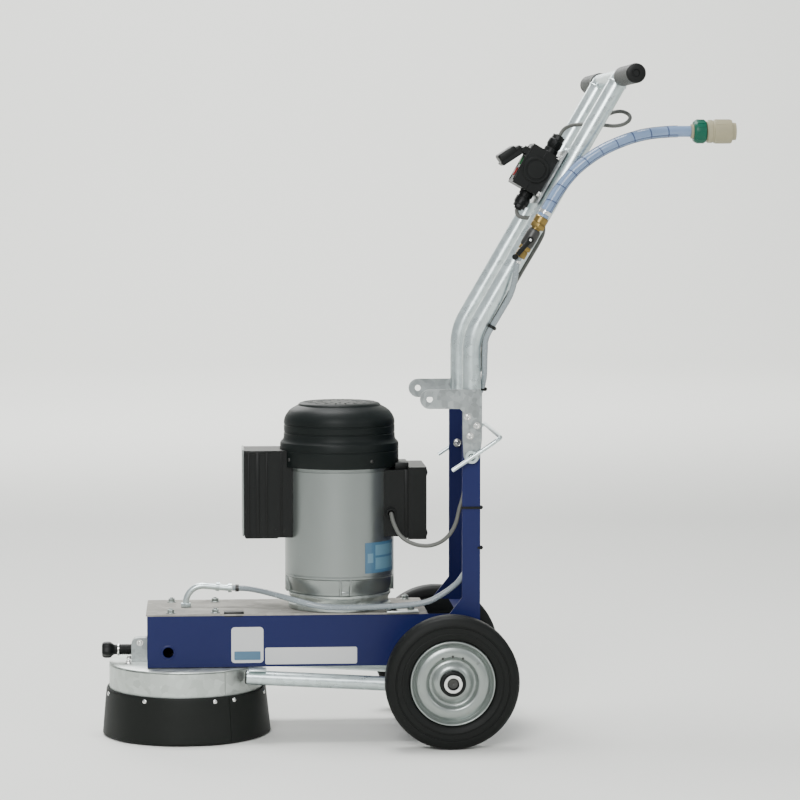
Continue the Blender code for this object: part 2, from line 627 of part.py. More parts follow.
def build_motor_boxes():
    saddle = rods("barrel_saddle", [((MOTOR_X, 0, 0.25), (MOTOR_X, 0, 0.60), MOTOR_R + 0.0008)],
                  None, segments=64, cutter=True)
    wide = CAPACITOR_HALF_WIDTH
    front, back = -0.3476, -0.262
    case = box("capacitor_box", (front, -wide, 0.345), (back, wide, 0.4955), BLACK)
    room = box("capacitor_room", (front + 0.009, -wide + 0.0035, 0.351),
               (MOTOR_X - MOTOR_R - 0.006, wide - 0.0035, 0.4895), None, cutter=True)
    brim = rods("cowl_clearance", [((MOTOR_X, 0, 0.4665), (MOTOR_X, 0, 0.60), COWL_R + 0.0008)],
                None, segments=64, cutter=True)
    lead = rods("capacitor_lead", [((front + 0.04, 0, 0.42), (MOTOR_X, 0, 0.42), 0.006)], None,
                cutter=True)
    for tool in (saddle, brim, room, lead):
        combine(case, tool, "DIFFERENCE")
    cans = rods("capacitors", [((-0.312, y, 0.3515), (-0.312, y, 0.470), 0.019)
                               for y in (-0.021, 0.021)], ZINC, segments=16)
    combine(cans, box("can_strap", (-0.3315, -0.021, 0.400), (-0.3295, 0.021, 0.430), None,
                      cutter=True), "UNION")

    wide = TERMINAL_HALF_WIDTH
    joint_x = -0.066
    body = box("terminal_box", (-0.135, -wide, 0.347), (joint_x, wide, 0.462), BLACK)
    room = box("terminal_room", (MOTOR_X + MOTOR_R + 0.006, -wide + 0.003, 0.350),
               (joint_x + 0.01, wide - 0.003, 0.459), None, cutter=True)
    entry = rods("cable_entry", [((CABLE_ENTRY.x, -wide + 0.001, CABLE_ENTRY.z),
                                  (CABLE_ENTRY.x, CABLE_ENTRY.y, CABLE_ENTRY.z), 0.008)],
                 None, segments=16, cutter=True)
    for tool, operation in ((saddle, "DIFFERENCE"), (room, "DIFFERENCE"), (entry, "UNION")):
        combine(body, tool, operation)
    lid = box("terminal_lid", (joint_x + GAP, -wide - 0.002, 0.342),
              (-0.034, wide + 0.002, 0.467), BLACK)
    hollow = box("lid_hollow", (joint_x - 0.01, -wide + 0.001, 0.345), (-0.037, wide - 0.001, 0.464),
                 None, cutter=True)
    combine(lid, hollow, "DIFFERENCE")


CABLE_ENTRY = Vector((-0.096, -0.072, 0.388))


# ---- guard knob at the front --------------------------------------------
KNOB_Z = 0.1455
KNOB_FRONT_X = -0.5965
STUD_R = 0.004


def build_knob():
    front = CHASSIS_FRONT_X - 0.029
    outline = rounded([(front, GUARD_TOP_Z + GAP, 0), (CHASSIS_FRONT_X - GAP, GUARD_TOP_Z + GAP, 0),
                       (CHASSIS_FRONT_X - GAP, 0.167, 0.004), (front, 0.167, 0.013)])
    bracket = meshed(plate("knob_bracket", [outline], 0.022, ZINC, (0, 0, 0), UPRIGHT_XZ))
    hole = rods("stud_hole", [((front - 0.02, 0, KNOB_Z), (-0.5215, 0, KNOB_Z), STUD_R + GAP)],
                None, cutter=True)
    combine(bracket, hole, "DIFFERENCE")
    turned("knob_sleeve", [(0.0095, front - GAP), (0.0095, front - 0.0205),
                           (STUD_R + GAP, front - 0.0205), (STUD_R + GAP, front - GAP)],
           BLACK, (0, 0, KNOB_Z), ALONG_X, segments=16)
    lobes = []
    for i in range(30):
        a = math.tau * i / 30
        r = 0.0128 + 0.0022 * math.cos(5 * a)
        lobes.append((r * math.cos(a), r * math.sin(a)))
    depth = front - 0.0208 - KNOB_FRONT_X
    knob = meshed(plate("guard_knob", [lobes], depth, BLACK,
                        (KNOB_FRONT_X + depth / 2, 0, KNOB_Z), UPRIGHT_YZ))
    stud = rods("knob_stud", [((KNOB_FRONT_X + depth / 2, 0, KNOB_Z), (-0.5225, 0, KNOB_Z), STUD_R)],
                None, cutter=True)
    combine(knob, stud, "UNION")


# ---- handle -------------------------------------------------------------
def handle_route(y, top, below):
    """Centre line of one handle tube, from below its foot to its upper end."""
    reach = HANDLE_BEND_RADIUS * math.tan(HANDLE_LEAN / 2)
    centre = Vector((HANDLE_X + HANDLE_BEND_RADIUS, y, HANDLE_BEND_Z - reach))
    points = [Vector((HANDLE_X, y, COLUMN_TOP_Z + 0.004 - below))]
    for i in range(6):
        a = HANDLE_LEAN * i / 5
        points.append(centre + HANDLE_BEND_RADIUS * Vector((-math.cos(a), 0, math.sin(a))))
    return points + [on_handle(top, 0, y)]


def build_handle():
    bar_end = GRIP_END_Y - 0.004

    def bar(extra):
        return [Vector((CROSS_X, side * (bar_end + extra), HANDLE_TOP_Z)) for side in (-1, 1)]

    def tube(name, route, radius, cutter=True):
        piece = meshed(wire(name, [route], radius, None if cutter else ZINC, resolution=4))
        if cutter:
            parts.objects.unlink(piece)
            cutters.objects.link(piece)
            piece.hide_render = True
            piece.display_type = "WIRE"
        return piece

    top = TOP_T - 0.002
    frame = tube("handle_frame", handle_route(-TUBE_Y, top, 0), TUBE_R, cutter=False)
    combine(frame, tube("far_side", handle_route(TUBE_Y, top, 0), TUBE_R), "UNION")
    combine(frame, tube("crossbar", bar(0), CROSS_R), "UNION")
    inside = TUBE_R - TUBE_WALL
    combine(frame, tube("crossbar_bore", bar(0.01), CROSS_R - TUBE_WALL), "DIFFERENCE")
    combine(frame, tube("near_bore", handle_route(-TUBE_Y, top - 0.004, 0.01), inside), "DIFFERENCE")
    combine(frame, tube("far_bore", handle_route(TUBE_Y, top - 0.004, 0.01), inside), "DIFFERENCE")

    inner_end = GRIP_END_Y - GRIP_LENGTH
    grip = [(0, GRIP_END_Y), (GRIP_R - 0.003, GRIP_END_Y), (GRIP_R, GRIP_END_Y - 0.003),
            (GRIP_R, inner_end), (CROSS_R + GAP, inner_end), (CROSS_R + GAP, bar_end + GAP),
            (0, bar_end + GAP)]
    for side, label in ((-1, "near"), (1, "far")):
        turned("grip_" + label, grip, RUBBER, (CROSS_X, 0, HANDLE_TOP_Z), facing((0, side, 0)),
               segments=20, ring=False)

    left, right = COLUMN_FRONT_X + 0.0005, HANDLE_X + TUBE_R + 0.0005
    ear_x, ear_z = EAR_HOLE
    ear_r = 0.0165
    leg = (arc(PIVOT.x + 0.0005, PIVOT.z + 0.004, 0.0145, 200, 340, 8)
           + [(right, PIVOT.z + 0.03), (right, ear_z + ear_r - 0.004), (right - 0.004, ear_z + ear_r)]
           + arc(ear_x, ear_z, ear_r, 90, 270, 10)
           + [(left - 0.005, ear_z - ear_r), (left, ear_z - ear_r - 0.005), (left, PIVOT.z + 0.03)])
    holes = [circle(ear_x, ear_z, 0.0055, 12), circle(PIVOT.x, PIVOT.z, PIVOT_BOLT_R + RUNNING, 10),
             circle(0.030, 0.560, 0.003, 8), circle(0.034, 0.5276, 0.003, 8),
             circle(0.0455, 0.545, 0.003, 8)]
    for side, label in ((-1, "near"), (1, "far")):
        plate("handle_plate_" + label, [leg] + holes, SHEET, ZINC, (0, side * PLATE_Y, 0), UPRIGHT_XZ)


def build_bail():
    low_y = PLATE_Y + SHEET / 2 + GAP
    high_y = low_y + 0.0062
    arm_y = low_y + 0.0082
    start, end = Vector((0.003, 0, 0.4692)), Vector((0.086, 0, 0.5248))
    lean = (end - start).normalized()
    corner = 0.012
    near = [start, PIVOT, end - lean * corner]
    route = [Vector((p.x, -arm_y, p.z)) for p in near]
    for i in range(1, 5):
        a = math.radians(90 * i / 4)
        point = end - lean * corner * (1 - math.sin(a))
        route.append(Vector((point.x, -arm_y + corner * (1 - math.cos(a)), point.z)))
    route += [Vector((p.x, -p.y, p.z)) for p in reversed(route)]
    bail = meshed(wire("lock_bail", [route], BAIL_R, STEEL, resolution=2))
    bolt_end = arm_y - BAIL_R - GAP
    eye = [(0.011, high_y), (0.011, low_y), (PIVOT_BOLT_R + RUNNING, low_y), (PIVOT_BOLT_R + RUNNING, high_y)]
    bolt = [(0, bolt_end), (PIVOT_BOLT_R, bolt_end),
            (PIVOT_BOLT_R, COLUMN_HALF_WIDTH - SHEET - GAP),
            (0.0078, COLUMN_HALF_WIDTH - SHEET - GAP), (0.0078, COLUMN_HALF_WIDTH - SHEET - 0.0058),
            (0, COLUMN_HALF_WIDTH - SHEET - 0.0058)]
    for side, label in ((-1, "near"), (1, "far")):
        turn, place = facing((0, side, 0)), (PIVOT.x, 0, PIVOT.z)
        combine(bail, turned("bail_eye_" + label, eye, None, place, turn, segments=16, cutter=True),
                "UNION")
        turned("pivot_bolt_" + label, bolt, STEEL, place, turn, segments=16, ring=False)


# ---- switch -------------------------------------------------------------
HANDLE_TURN = Matrix((-OUT, (0, 1, 0), UP)).transposed()    # local x to the tube's rear, z up it
FLAP_ROOT = (SWITCH_LOW_T + SWITCH_LENGTH - 0.0165, SWITCH_FACE + 0.0075)
FLAP_OPEN = math.radians(27)
BUTTON_T = (SWITCH_LOW_T + 0.020, SWITCH_LOW_T + 0.042)


def build_switch():
    high_t = SWITCH_LOW_T + SWITCH_LENGTH
    edge = 0.135
    low_n, high_n = TUBE_R + GAP, TUBE_R + GAP + SHEET
    box("switch_bracket", (-high_n, -edge, SWITCH_LOW_T - 0.013), (-low_n, edge, high_t + 0.014),
        ZINC, HANDLE_TURN, BEND)

    case = box("switch_box", (-SWITCH_FACE, SWITCH_NEAR_Y, SWITCH_LOW_T),
               (-SWITCH_BACK, SWITCH_NEAR_Y + SWITCH_WIDTH, high_t), BLACK, HANDLE_TURN, BEND)
    pockets = rods("button_pockets", [(on_handle(t, SWITCH_FACE - 0.0135, SWITCH_Y),
                                       on_handle(t, SWITCH_FACE + 0.01, SWITCH_Y),
                                       BUTTON_R + RUNNING / 2) for t in BUTTON_T],
                   None, segments=16, cutter=True)
    combine(case, pockets, "DIFFERENCE")
    for side, label in ((-1, "near"), (1, "far")):
        inner, outer = sorted((side * 0.0270, side * 0.0312))
        lug = box("flap_lug_" + label, (-FLAP_ROOT[1] - 0.0035, SWITCH_Y + inner, FLAP_ROOT[0] - 0.005),
                  (-SWITCH_FACE + 0.002, SWITCH_Y + outer, FLAP_ROOT[0] + 0.006), None, HANDLE_TURN,
                  BEND, cutter=True)
        combine(case, lug, "UNION")
    for label, t, colour in (("stop_button", BUTTON_T[0], RED), ("start_button", BUTTON_T[1], GREEN)):
        turned(label, [(0, 0.003), (BUTTON_R - 0.001, 0.003), (BUTTON_R, 0.002), (BUTTON_R, -0.009),
                       (0, -0.009)], colour, on_handle(t, SWITCH_FACE, SWITCH_Y), facing(OUT),
               segments=16, ring=False)

    root = on_handle(FLAP_ROOT[0], FLAP_ROOT[1], 0)
    length, half = 0.045, 0.026
    profile = rounded([(-0.0045, -0.0035, 0.002), (length, -0.0035, 0.001),
                       (length + 0.003, 0.0035, 0.002), (0.004, 0.0055, 0.003),
                       (-0.0045, 0.0040, 0.002)])
    along = -UP * math.cos(FLAP_OPEN) + OUT * math.sin(FLAP_OPEN)
    across = OUT * math.cos(FLAP_OPEN) + UP * math.sin(FLAP_OPEN)
    turn = Matrix((along, across, along.cross(across))).transposed()
    plate("switch_flap", [profile], 2 * half, BLACK, root + Vector((0, SWITCH_Y, 0)), turn)

    upper = (high_t - 0.002, high_t + 0.034)
    lower = (SWITCH_LOW_T + 0.002, SWITCH_LOW_T - 0.031)
    combine(case, rods("switch_glands", [(on_handle(a, GLAND_OUT, SWITCH_Y),
                                          on_handle(b, GLAND_OUT, SWITCH_Y), GLAND_R)
                                         for a, b in (upper, lower)], None, cutter=True), "UNION")
    return upper[1], lower[1]


# ---- water feed ---------------------------------------------------------
VALVE_LOW_T, VALVE_HIGH_T = 0.156, 0.234
LEVER_T = 0.190


def build_water():
    bottom = on_handle(0, 0, VALVE_Y)
    profile = [(0, 0.234), (0.0125, 0.234), (0.0125, 0.213), (0.0085, 0.211), (0.0115, 0.206),
               (0.0115, 0.176), (0.0080, 0.172), (0.0095, 0.168), (0.0095, VALVE_LOW_T),
               (0, VALVE_LOW_T)]
    turned("valve_body", profile, BRASS, bottom, facing(UP), segments=16, ring=False)
    pivot = on_handle(LEVER_T, 0, VALVE_Y)
    near = VALVE_Y - 0.0115 - GAP
    tilt = math.radians(12)
    along = -UP * math.cos(tilt) + OUT * math.sin(tilt)
    across = OUT * math.cos(tilt) + UP * math.sin(tilt)
    turn = Matrix((along, across, along.cross(across))).transposed()
    outline = arc(0, 0, 0.0055, 90, 270, 6) + arc(0.040, 0, 0.0045, -90, 90, 6)
    plate("valve_lever", [outline], 0.0035, BLACK, (pivot.x, near - 0.00175, pivot.z), turn)

    # the pipe that carries water down into the hollow spindle
    radius, foot, crest = 0.030, 0.186, 0.2560
    pipe = [Vector((HEAD_X, 0, foot)), Vector((HEAD_X, 0, crest - radius))]
    for i in range(1, 7):
        a = math.radians(100 * i / 6)
        pipe.append(Vector((HEAD_X + radius * (1 - math.cos(a)), 0,
                            crest - radius + radius * math.sin(a))))
    pipe.append(ELBOW_END)
    wire("water_elbow", [pipe], 0.0055, ZINC, resolution=3)

    wire("hose_chassis", [through(HOSE_CHASSIS, 0.023)], HOSE_R, HOSE)
    wire("hose_handle", [through(HOSE_HANDLE, 0.018)], HOSE_R, HOSE)
    wire("water_tail", [through(TAIL, 0.022)], TAIL_R, HOSE, resolution=3)
    end = TAIL[-1]
    turned("water_coupling", [(0, 0.0765), (0.0130, 0.0765), (0.0130, 0.070), (0.0205, 0.068),
                              (0.0205, 0.026), (0.0190, 0.024), (0.0190, GAP), (0, GAP)],
           BEIGE, end, ALONG_X, segments=24, ring=False)


ELBOW_END = Vector((-0.3700, 0, 0.2520))

# Route of the clear hose from the fold of the handle, down inside the column, out of its
# open front, past the motor flange and forward to the pipe above the spindle.
HOSE_CHASSIS = [
    (0.0430, -0.0862, 0.5705), (0.0415, -0.0885, 0.5500), (0.0410, -0.0980, 0.5200),
    (0.0410, -0.1040, 0.4800), (0.0410, -0.1060, 0.4000), (0.0405, -0.1060, 0.3400),
    (0.0360, -0.1050, 0.3050), (0.0260, -0.1030, 0.2847), (0.0122, -0.1010, 0.2675),
    (-0.0136, -0.1000, 0.2490), (-0.0395, -0.0990, 0.2372), (-0.0825, -0.0980, 0.2320),
    (-0.1300, -0.0975, 0.2300), (-0.1820, -0.0970, 0.2295), (-0.2200, -0.0955, 0.2320),
    (-0.2542, -0.0860, 0.2390), (-0.2900, -0.0600, 0.2460), (-0.3200, -0.0290, 0.2500),
    (-0.3420, -0.0070, 0.2512), (-0.3610, 0.0000, 0.2515), (-0.3694, 0.0000, 0.2519)]

# The same hose above the fold: from the valve to the rear of the near tube and down it.
HOSE_HANDLE = [
    on_handle(VALVE_LOW_T - GAP, 0, VALVE_Y), on_handle(VALVE_LOW_T - 0.007, 0, VALVE_Y),
    on_handle(0.140, -0.0035, -0.1512), on_handle(0.125, -0.0105, -0.1475), on_handle(0.105, -0.0180, -0.1395),
    on_handle(0.085, -0.0215, -0.1310), on_handle(0.050, -0.0216, -0.1275),
    on_handle(0.012, -0.0222, -0.1275), (0.0602, -0.1275, 0.6700), (0.0600, -0.1240, 0.6480),
    (0.0600, -0.1140, 0.6250), (0.0570, -0.1010, 0.6050), (0.0490, -0.0905, 0.5900),
    (0.0430, -0.0865, 0.5795)]

# The free inlet hose: up past the handle and out to the rear, in a low arch.
TAIL = [
    on_handle(VALVE_HIGH_T + GAP, 0, VALVE_Y), on_handle(VALVE_HIGH_T + 0.012, 0, VALVE_Y),
    Vector((0.1830, VALVE_Y, 0.9450)), Vector((0.2080, VALVE_Y, 0.9755)),
    Vector((0.2365, VALVE_Y, 0.9990)), Vector((0.2653, VALVE_Y, 1.0160)),
    Vector((0.2992, VALVE_Y, 1.0300)), Vector((0.3315, VALVE_Y, 1.0385)),
    Vector((0.3655, VALVE_Y, 1.0423)), Vector((0.3900, VALVE_Y, 1.0430)),
    Vector((0.4060, VALVE_Y, 1.0430))]

# ---- cables -------------------------------------------------------------
PLUG_Y = -0.0800
PLUG_N = -0.0035
PLUG_TOP_T = 0.388


def build_cables(upper_gland, lower_gland):
    supply = [on_handle(upper_gland + reach, GLAND_OUT, SWITCH_Y) for reach in (GAP, 0.008)]
    supply += [on_handle(*p) for p in SUPPLY]
    supply += [on_handle(PLUG_TOP_T + reach, PLUG_N, PLUG_Y) for reach in (0.008, GAP)]
    wire("supply_lead", [through(supply, 0.0135)], LEAD_R, CABLE)
    place = on_handle(0, PLUG_N, PLUG_Y)
    turned("supply_plug", [(0, PLUG_TOP_T), (0.0055, PLUG_TOP_T), (0.0075, PLUG_TOP_T - 0.017),
                           (0.0140, PLUG_TOP_T - 0.021), (0.0140, PLUG_TOP_T - 0.050),
                           (0.0125, PLUG_TOP_T - 0.054), (0, PLUG_TOP_T - 0.054)],
           BLACK, place, facing(UP), segments=20, ring=False)

    motor = [on_handle(lower_gland - reach, GLAND_OUT, SWITCH_Y) for reach in (GAP, 0.006)]
    motor += [on_handle(*p) for p in MOTOR_LEAD] + MOTOR_LEAD_FOOT
    wire("motor_cable_handle", [through(motor, 0.0165)], CABLE_R, CABLE)
    column = COLUMN_LEAD + [CABLE_ENTRY - Vector((0, reach, 0)) for reach in (0.006, GAP)]
    wire("motor_cable_column", [through(column, 0.018)], CABLE_R, CABLE)


# Mains lead, as (up the tube, out of it, across): from the gland past the inner side of
# the near tube, round in a loop to the rear and back down to the plug tied by the tube.
SUPPLY = [
    (0.3890, 0.0335, -0.0640), (0.3990, 0.0262, -0.0740), (0.4082, 0.0125, -0.0880),
    (0.4170, -0.0040, -0.0950), (0.4245, -0.0179, -0.0955), (0.4320, -0.0340, -0.0920),
    (0.4430, -0.0475, -0.0845), (0.4560, -0.0545, -0.0730), (0.4645, -0.0515, -0.0600),
    (0.4645, -0.0390, -0.0500), (0.4560, -0.0270, -0.0460), (0.4440, -0.0180, -0.0475),
    (0.4310, -0.0115, -0.0550), (0.4190, -0.0065, -0.0670), (0.4070, -0.0040, -0.0765)]

# Motor lead below the switch: a short dip, behind the near tube, then down its rear.
MOTOR_LEAD = [
    (0.2205, 0.0310, -0.0675), (0.2190, 0.0250, -0.0770), (0.2230, 0.0150, -0.0880),
    (0.2300, 0.0030, -0.0985), (0.2290, -0.0090, -0.0990), (0.2160, -0.0190, -0.1010),
    (0.1950, -0.0210, -0.1060), (0.1500, -0.0200, -0.1110), (0.1000, -0.0198, -0.1125),
    (0.0500, -0.0198, -0.1125), (0.0120, -0.0204, -0.1125)]
MOTOR_LEAD_FOOT = [
    Vector((0.0585, -0.1120, 0.6700)), Vector((0.0570, -0.1070, 0.6500)),
    Vector((0.0520, -0.1000, 0.6320)), Vector((0.0440, -0.0980, 0.6120)),
    Vector((0.0370, -0.0980, 0.5940)), Vector((0.0345, -0.0980, 0.5795))]

# The same lead below the fold: inside the column, out of its front and across to the motor.
COLUMN_LEAD = [Vector(p) for p in (
    (0.0340, -0.0982, 0.5705), (0.0330, -0.1020, 0.5500), (0.0310, -0.1120, 0.5200),
    (0.0300, -0.1165, 0.4900), (0.0285, -0.1195, 0.4550), (0.0240, -0.1240, 0.4250),
    (0.0170, -0.1262, 0.4010), (0.0110, -0.1262, 0.3770), (0.0000, -0.1240, 0.3570),
    (-0.0160, -0.1180, 0.3430), (-0.0376, -0.1100, 0.3365), (-0.0620, -0.1015, 0.3400),
    (-0.0820, -0.0935, 0.3530), (-0.0930, -0.0860, 0.3745))]


# ---- build --------------------------------------------------------------
build_chassis()
build_column()
build_wheels()
build_guard()
build_spindle()
build_drive()
build_motor()
build_motor_boxes()
build_knob()
build_handle()
build_bail()
upper_end, lower_end = build_switch()
build_water()
build_cables(upper_end, lower_end)
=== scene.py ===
# Walk-behind concrete grinder: the looks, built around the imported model.
import math
import bpy
from mathutils import Matrix, Vector


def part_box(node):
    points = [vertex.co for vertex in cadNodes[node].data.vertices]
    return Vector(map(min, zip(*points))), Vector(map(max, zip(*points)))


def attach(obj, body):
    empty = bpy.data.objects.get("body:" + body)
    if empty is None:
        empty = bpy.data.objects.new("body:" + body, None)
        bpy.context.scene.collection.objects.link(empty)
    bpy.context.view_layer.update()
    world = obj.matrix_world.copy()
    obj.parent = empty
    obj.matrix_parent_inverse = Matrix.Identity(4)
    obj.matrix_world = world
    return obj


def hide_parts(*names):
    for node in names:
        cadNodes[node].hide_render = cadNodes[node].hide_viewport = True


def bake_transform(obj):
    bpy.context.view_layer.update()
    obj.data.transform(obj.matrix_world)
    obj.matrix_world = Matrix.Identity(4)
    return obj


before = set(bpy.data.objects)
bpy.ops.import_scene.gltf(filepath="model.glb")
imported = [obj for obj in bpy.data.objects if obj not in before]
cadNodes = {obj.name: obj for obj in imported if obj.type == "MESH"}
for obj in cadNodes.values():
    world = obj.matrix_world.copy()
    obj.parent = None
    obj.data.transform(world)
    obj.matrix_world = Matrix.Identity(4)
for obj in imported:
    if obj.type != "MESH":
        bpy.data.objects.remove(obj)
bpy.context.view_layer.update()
axleX = sum(corner.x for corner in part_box("axle")) / 2       # every x below is counted from the axle


# places on the machine
lean = {"angle": math.radians(30), "x": 0.038, "z": 0.696, "top": 1.1355}     # the leaning handle tubes
leanUp = Vector((math.sin(lean["angle"]), 0, math.cos(lean["angle"])))
leanOut = Vector((-math.cos(lean["angle"]), 0, math.sin(lean["angle"])))


def at(x, y, z):
    return Vector((x + axleX, y, z))


def onHandle(along, out, y):
    return at(lean["x"], y, lean["z"]) + leanUp * along + leanOut * out


handleTop = (lean["top"] - lean["z"]) / math.cos(lean["angle"])
crossX = lean["x"] + handleTop * math.sin(lean["angle"])
handleTurn = Matrix((-leanOut, (0, 1, 0), leanUp)).transposed().to_4x4()
handlePlace = Matrix.Translation(onHandle(0, 0, 0)) @ handleTurn
fromAxle = Matrix.Translation((axleX, 0, 0))


def turnBy(degrees):
    return Matrix.Rotation(math.radians(degrees), 4, "Z")


# camera: a long lens from the side
camera = {"place": (-0.2694, -5.029, 0.957), "pitch": 85.71, "yaw": -3.846, "lens": 130.5}
bpy.ops.object.camera_add(location=camera["place"], rotation=(math.radians(camera["pitch"]), 0,
    math.radians(camera["yaw"])))
bpy.context.object.data.lens = camera["lens"]
bpy.context.object.data.clip_end = 60
bpy.context.scene.camera = bpy.context.object
print("camera set")


# helpers for selecting, shaping and placing pieces
def deselect():
    bpy.ops.object.select_all(action="DESELECT")


def pick(piece):
    deselect()
    piece.select_set(True)
    bpy.context.view_layer.objects.active = piece


def smooth(piece, angle=35):
    pick(piece)
    bpy.ops.object.shade_smooth_by_angle(angle=math.radians(angle))


def tidyMesh(piece, closeHoles=False):
    pick(piece)
    bpy.ops.object.mode_set(mode="EDIT")
    bpy.ops.mesh.select_all(action="SELECT")
    bpy.ops.mesh.remove_doubles(threshold=0.000002)
    if closeHoles:
        bpy.ops.mesh.select_all(action="DESELECT")
        bpy.ops.mesh.select_mode(type="EDGE")
        bpy.ops.mesh.select_non_manifold()
        bpy.ops.mesh.fill_holes(sides=0)
    bpy.ops.mesh.select_all(action="SELECT")
    bpy.ops.mesh.normals_make_consistent(inside=False)
    bpy.ops.object.mode_set(mode="OBJECT")


def settle(piece, matrix=None):
    # leaves the object at the origin with its place in its mesh
    pick(piece)
    if matrix is not None:
        piece.matrix_world = matrix
    bpy.ops.object.transform_apply(location=True, rotation=True, scale=True)
    return piece


def facing(place, direction, spin=0):
    turn = Vector((0, 0, 1)).rotation_difference(Vector(direction)).to_matrix().to_4x4()
    return Matrix.Translation(place) @ turn @ turnBy(spin)


def applyModifier(piece, kind, **values):
    pick(piece)
    step = piece.modifiers.new(kind.lower(), kind)
    for key, value in values.items():
        setattr(step, key, value)
    bpy.ops.object.modifier_apply(modifier=step.name)


def soften(piece, width, segments=2, angle=30):
    applyModifier(piece, "BEVEL", width=width, segments=segments, limit_method="ANGLE",
        angle_limit=math.radians(angle), harden_normals=False)


def turned(name, outline, sides=72, closed=True, sweep=360, start=0, sharp=32):
    # an outline of (radius, height) corners spun round the upright axis
    deselect()
    bpy.ops.mesh.primitive_circle_add(vertices=len(outline), radius=0.01)
    piece = bpy.context.object
    piece.name = name
    first = math.radians(start + sweep)        # the spin runs clockwise, from here back to start
    for corner, (radius, height) in zip(piece.data.vertices, outline):
        corner.co = (radius * math.cos(first), radius * math.sin(first), height)
    bpy.ops.object.mode_set(mode="EDIT")
    bpy.ops.mesh.select_mode(type="EDGE")
    if not closed:
        bpy.ops.mesh.select_all(action="DESELECT")
        bpy.ops.object.mode_set(mode="OBJECT")
        for edge in piece.data.edges:
            edge.select = set(edge.vertices) == {0, len(outline) - 1}
        bpy.ops.object.mode_set(mode="EDIT")
        bpy.ops.mesh.delete(type="EDGE")
    bpy.ops.mesh.select_all(action="SELECT")
    bpy.ops.mesh.spin(steps=sides, angle=math.radians(sweep), center=(0, 0, 0), axis=(0, 0, 1))
    bpy.ops.object.mode_set(mode="OBJECT")
    tidyMesh(piece, closeHoles=sweep < 360)
    smooth(piece, sharp)
    return piece


def block(name, low, high, edge=0.001, segments=2):
    deselect()
    middle = [(a + b) / 2 for a, b in zip(low, high)]
    bpy.ops.mesh.primitive_cube_add(size=1, location=middle, scale=[b - a for a, b in zip(low, high)])
    piece = bpy.context.object
    piece.name = name
    bpy.ops.object.transform_apply(location=True, rotation=True, scale=True)
    if edge:
        soften(piece, edge, segments)
        smooth(piece)
    return piece


def runOf(name, route, radius, detail=5, caps=True):
    # a round run along a line of points, left as a curve
    deselect()
    bpy.ops.curve.primitive_nurbs_path_add()
    run = bpy.context.object
    run.name = name
    run.location = (0, 0, 0)
    line = run.data
    line.splines.clear()
    spline = line.splines.new("POLY")
    spline.points.add(len(route) - 1)
    for point, place in zip(spline.points, route):
        point.co = (*place, 1)
    spline.use_smooth = True
    line.bevel_depth = radius
    line.bevel_resolution = detail
    line.use_fill_caps = caps
    return run


def pipe(name, route, radius, detail=5, caps=True, wall=0.0):
    run = runOf(name, route, radius, detail, caps)
    pick(run)
    bpy.ops.object.convert(target="MESH")
    piece = bpy.context.object
    tidyMesh(piece)
    if wall:
        applyModifier(piece, "SOLIDIFY", thickness=wall, offset=-1)
    smooth(piece, 40)
    return piece


def joined(name, pieces):
    deselect()
    for piece in pieces:
        piece.select_set(True)
    bpy.context.view_layer.objects.active = pieces[0]
    bpy.ops.object.join()
    pieces[0].name = name
    return pieces[0]


def copies(name, source, places):
    # the source is copied to every place, each copy with its own mesh, and joined
    made = []
    for matrix in places:
        pick(source)
        bpy.ops.object.duplicate(linked=False)
        made.append(settle(bpy.context.object, matrix))
    bpy.data.objects.remove(source, do_unlink=True)
    return joined(name, made)


def through(points, spacing):
    # evenly spaced points on a smooth line through the given ones, with straight end legs
    knots = [Vector(p) for p in points]
    fine = []
    for a, b, c, d in zip(knots, knots[1:], knots[2:], knots[3:]):
        for i in range(20):
            s = i / 20
            bend, twist = 2 * a - 5 * b + 4 * c - d, 3 * b - a - 3 * c + d
            fine.append(0.5 * ((2 * b) + (c - a) * s + bend * s * s + twist * s ** 3))
    fine.append(knots[-2])
    total = sum((q - p).length for p, q in zip(fine, fine[1:]))
    count = max(2, round(total / spacing))
    result, walked, wanted = [knots[0], fine[0]], 0.0, total / count
    for p, q in zip(fine, fine[1:]):
        step = (q - p).length
        while walked + step >= wanted - 1e-9 and len(result) < count + 1:
            result.append(p.lerp(q, (wanted - walked) / step))
            wanted += total / count
        walked += step
    return result + [fine[-1], knots[-1]]


def showAs(piece, body, finish, slotName, *replaced):
    piece.data.materials.clear()
    piece.data.materials.append(finishes[finish])
    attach(piece, body)
    if replaced:
        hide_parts(*replaced)
    return piece


# surface effects that the finishes share
def nodeGroup(name, inputs, outputs):
    tree = bpy.data.node_groups.new(name, "ShaderNodeTree")
    for label, kind, value in inputs:
        socket = tree.interface.new_socket(name=label, in_out="INPUT", socket_type="NodeSocket" + kind)
        socket.default_value = value
    for label, kind in outputs:
        tree.interface.new_socket(name=label, in_out="OUTPUT", socket_type="NodeSocket" + kind)
    return tree, tree.nodes.new("NodeGroupInput").outputs, tree.nodes.new("NodeGroupOutput").inputs


def addNode(tree, kind, values=None, links=None, **settings):
    node = tree.nodes.new("ShaderNode" + kind)
    for key, value in settings.items():
        setattr(node, key, value)
    for key, value in (values or {}).items():
        node.inputs[key].default_value = value
    for key, source in (links or {}).items():
        tree.links.new(source, node.inputs[key])
    return node


def objectSpace(tree):
    return addNode(tree, "TexCoord").outputs["Object"]


def maths(tree, operation, first, second, third=None):
    node = tree.nodes.new("ShaderNodeMath")
    node.operation = operation
    for i, value in enumerate((first, second, third)):
        if isinstance(value, bpy.types.NodeSocket):
            tree.links.new(value, node.inputs[i])
        elif value is not None:
            node.inputs[i].default_value = value
    return node.outputs[0]


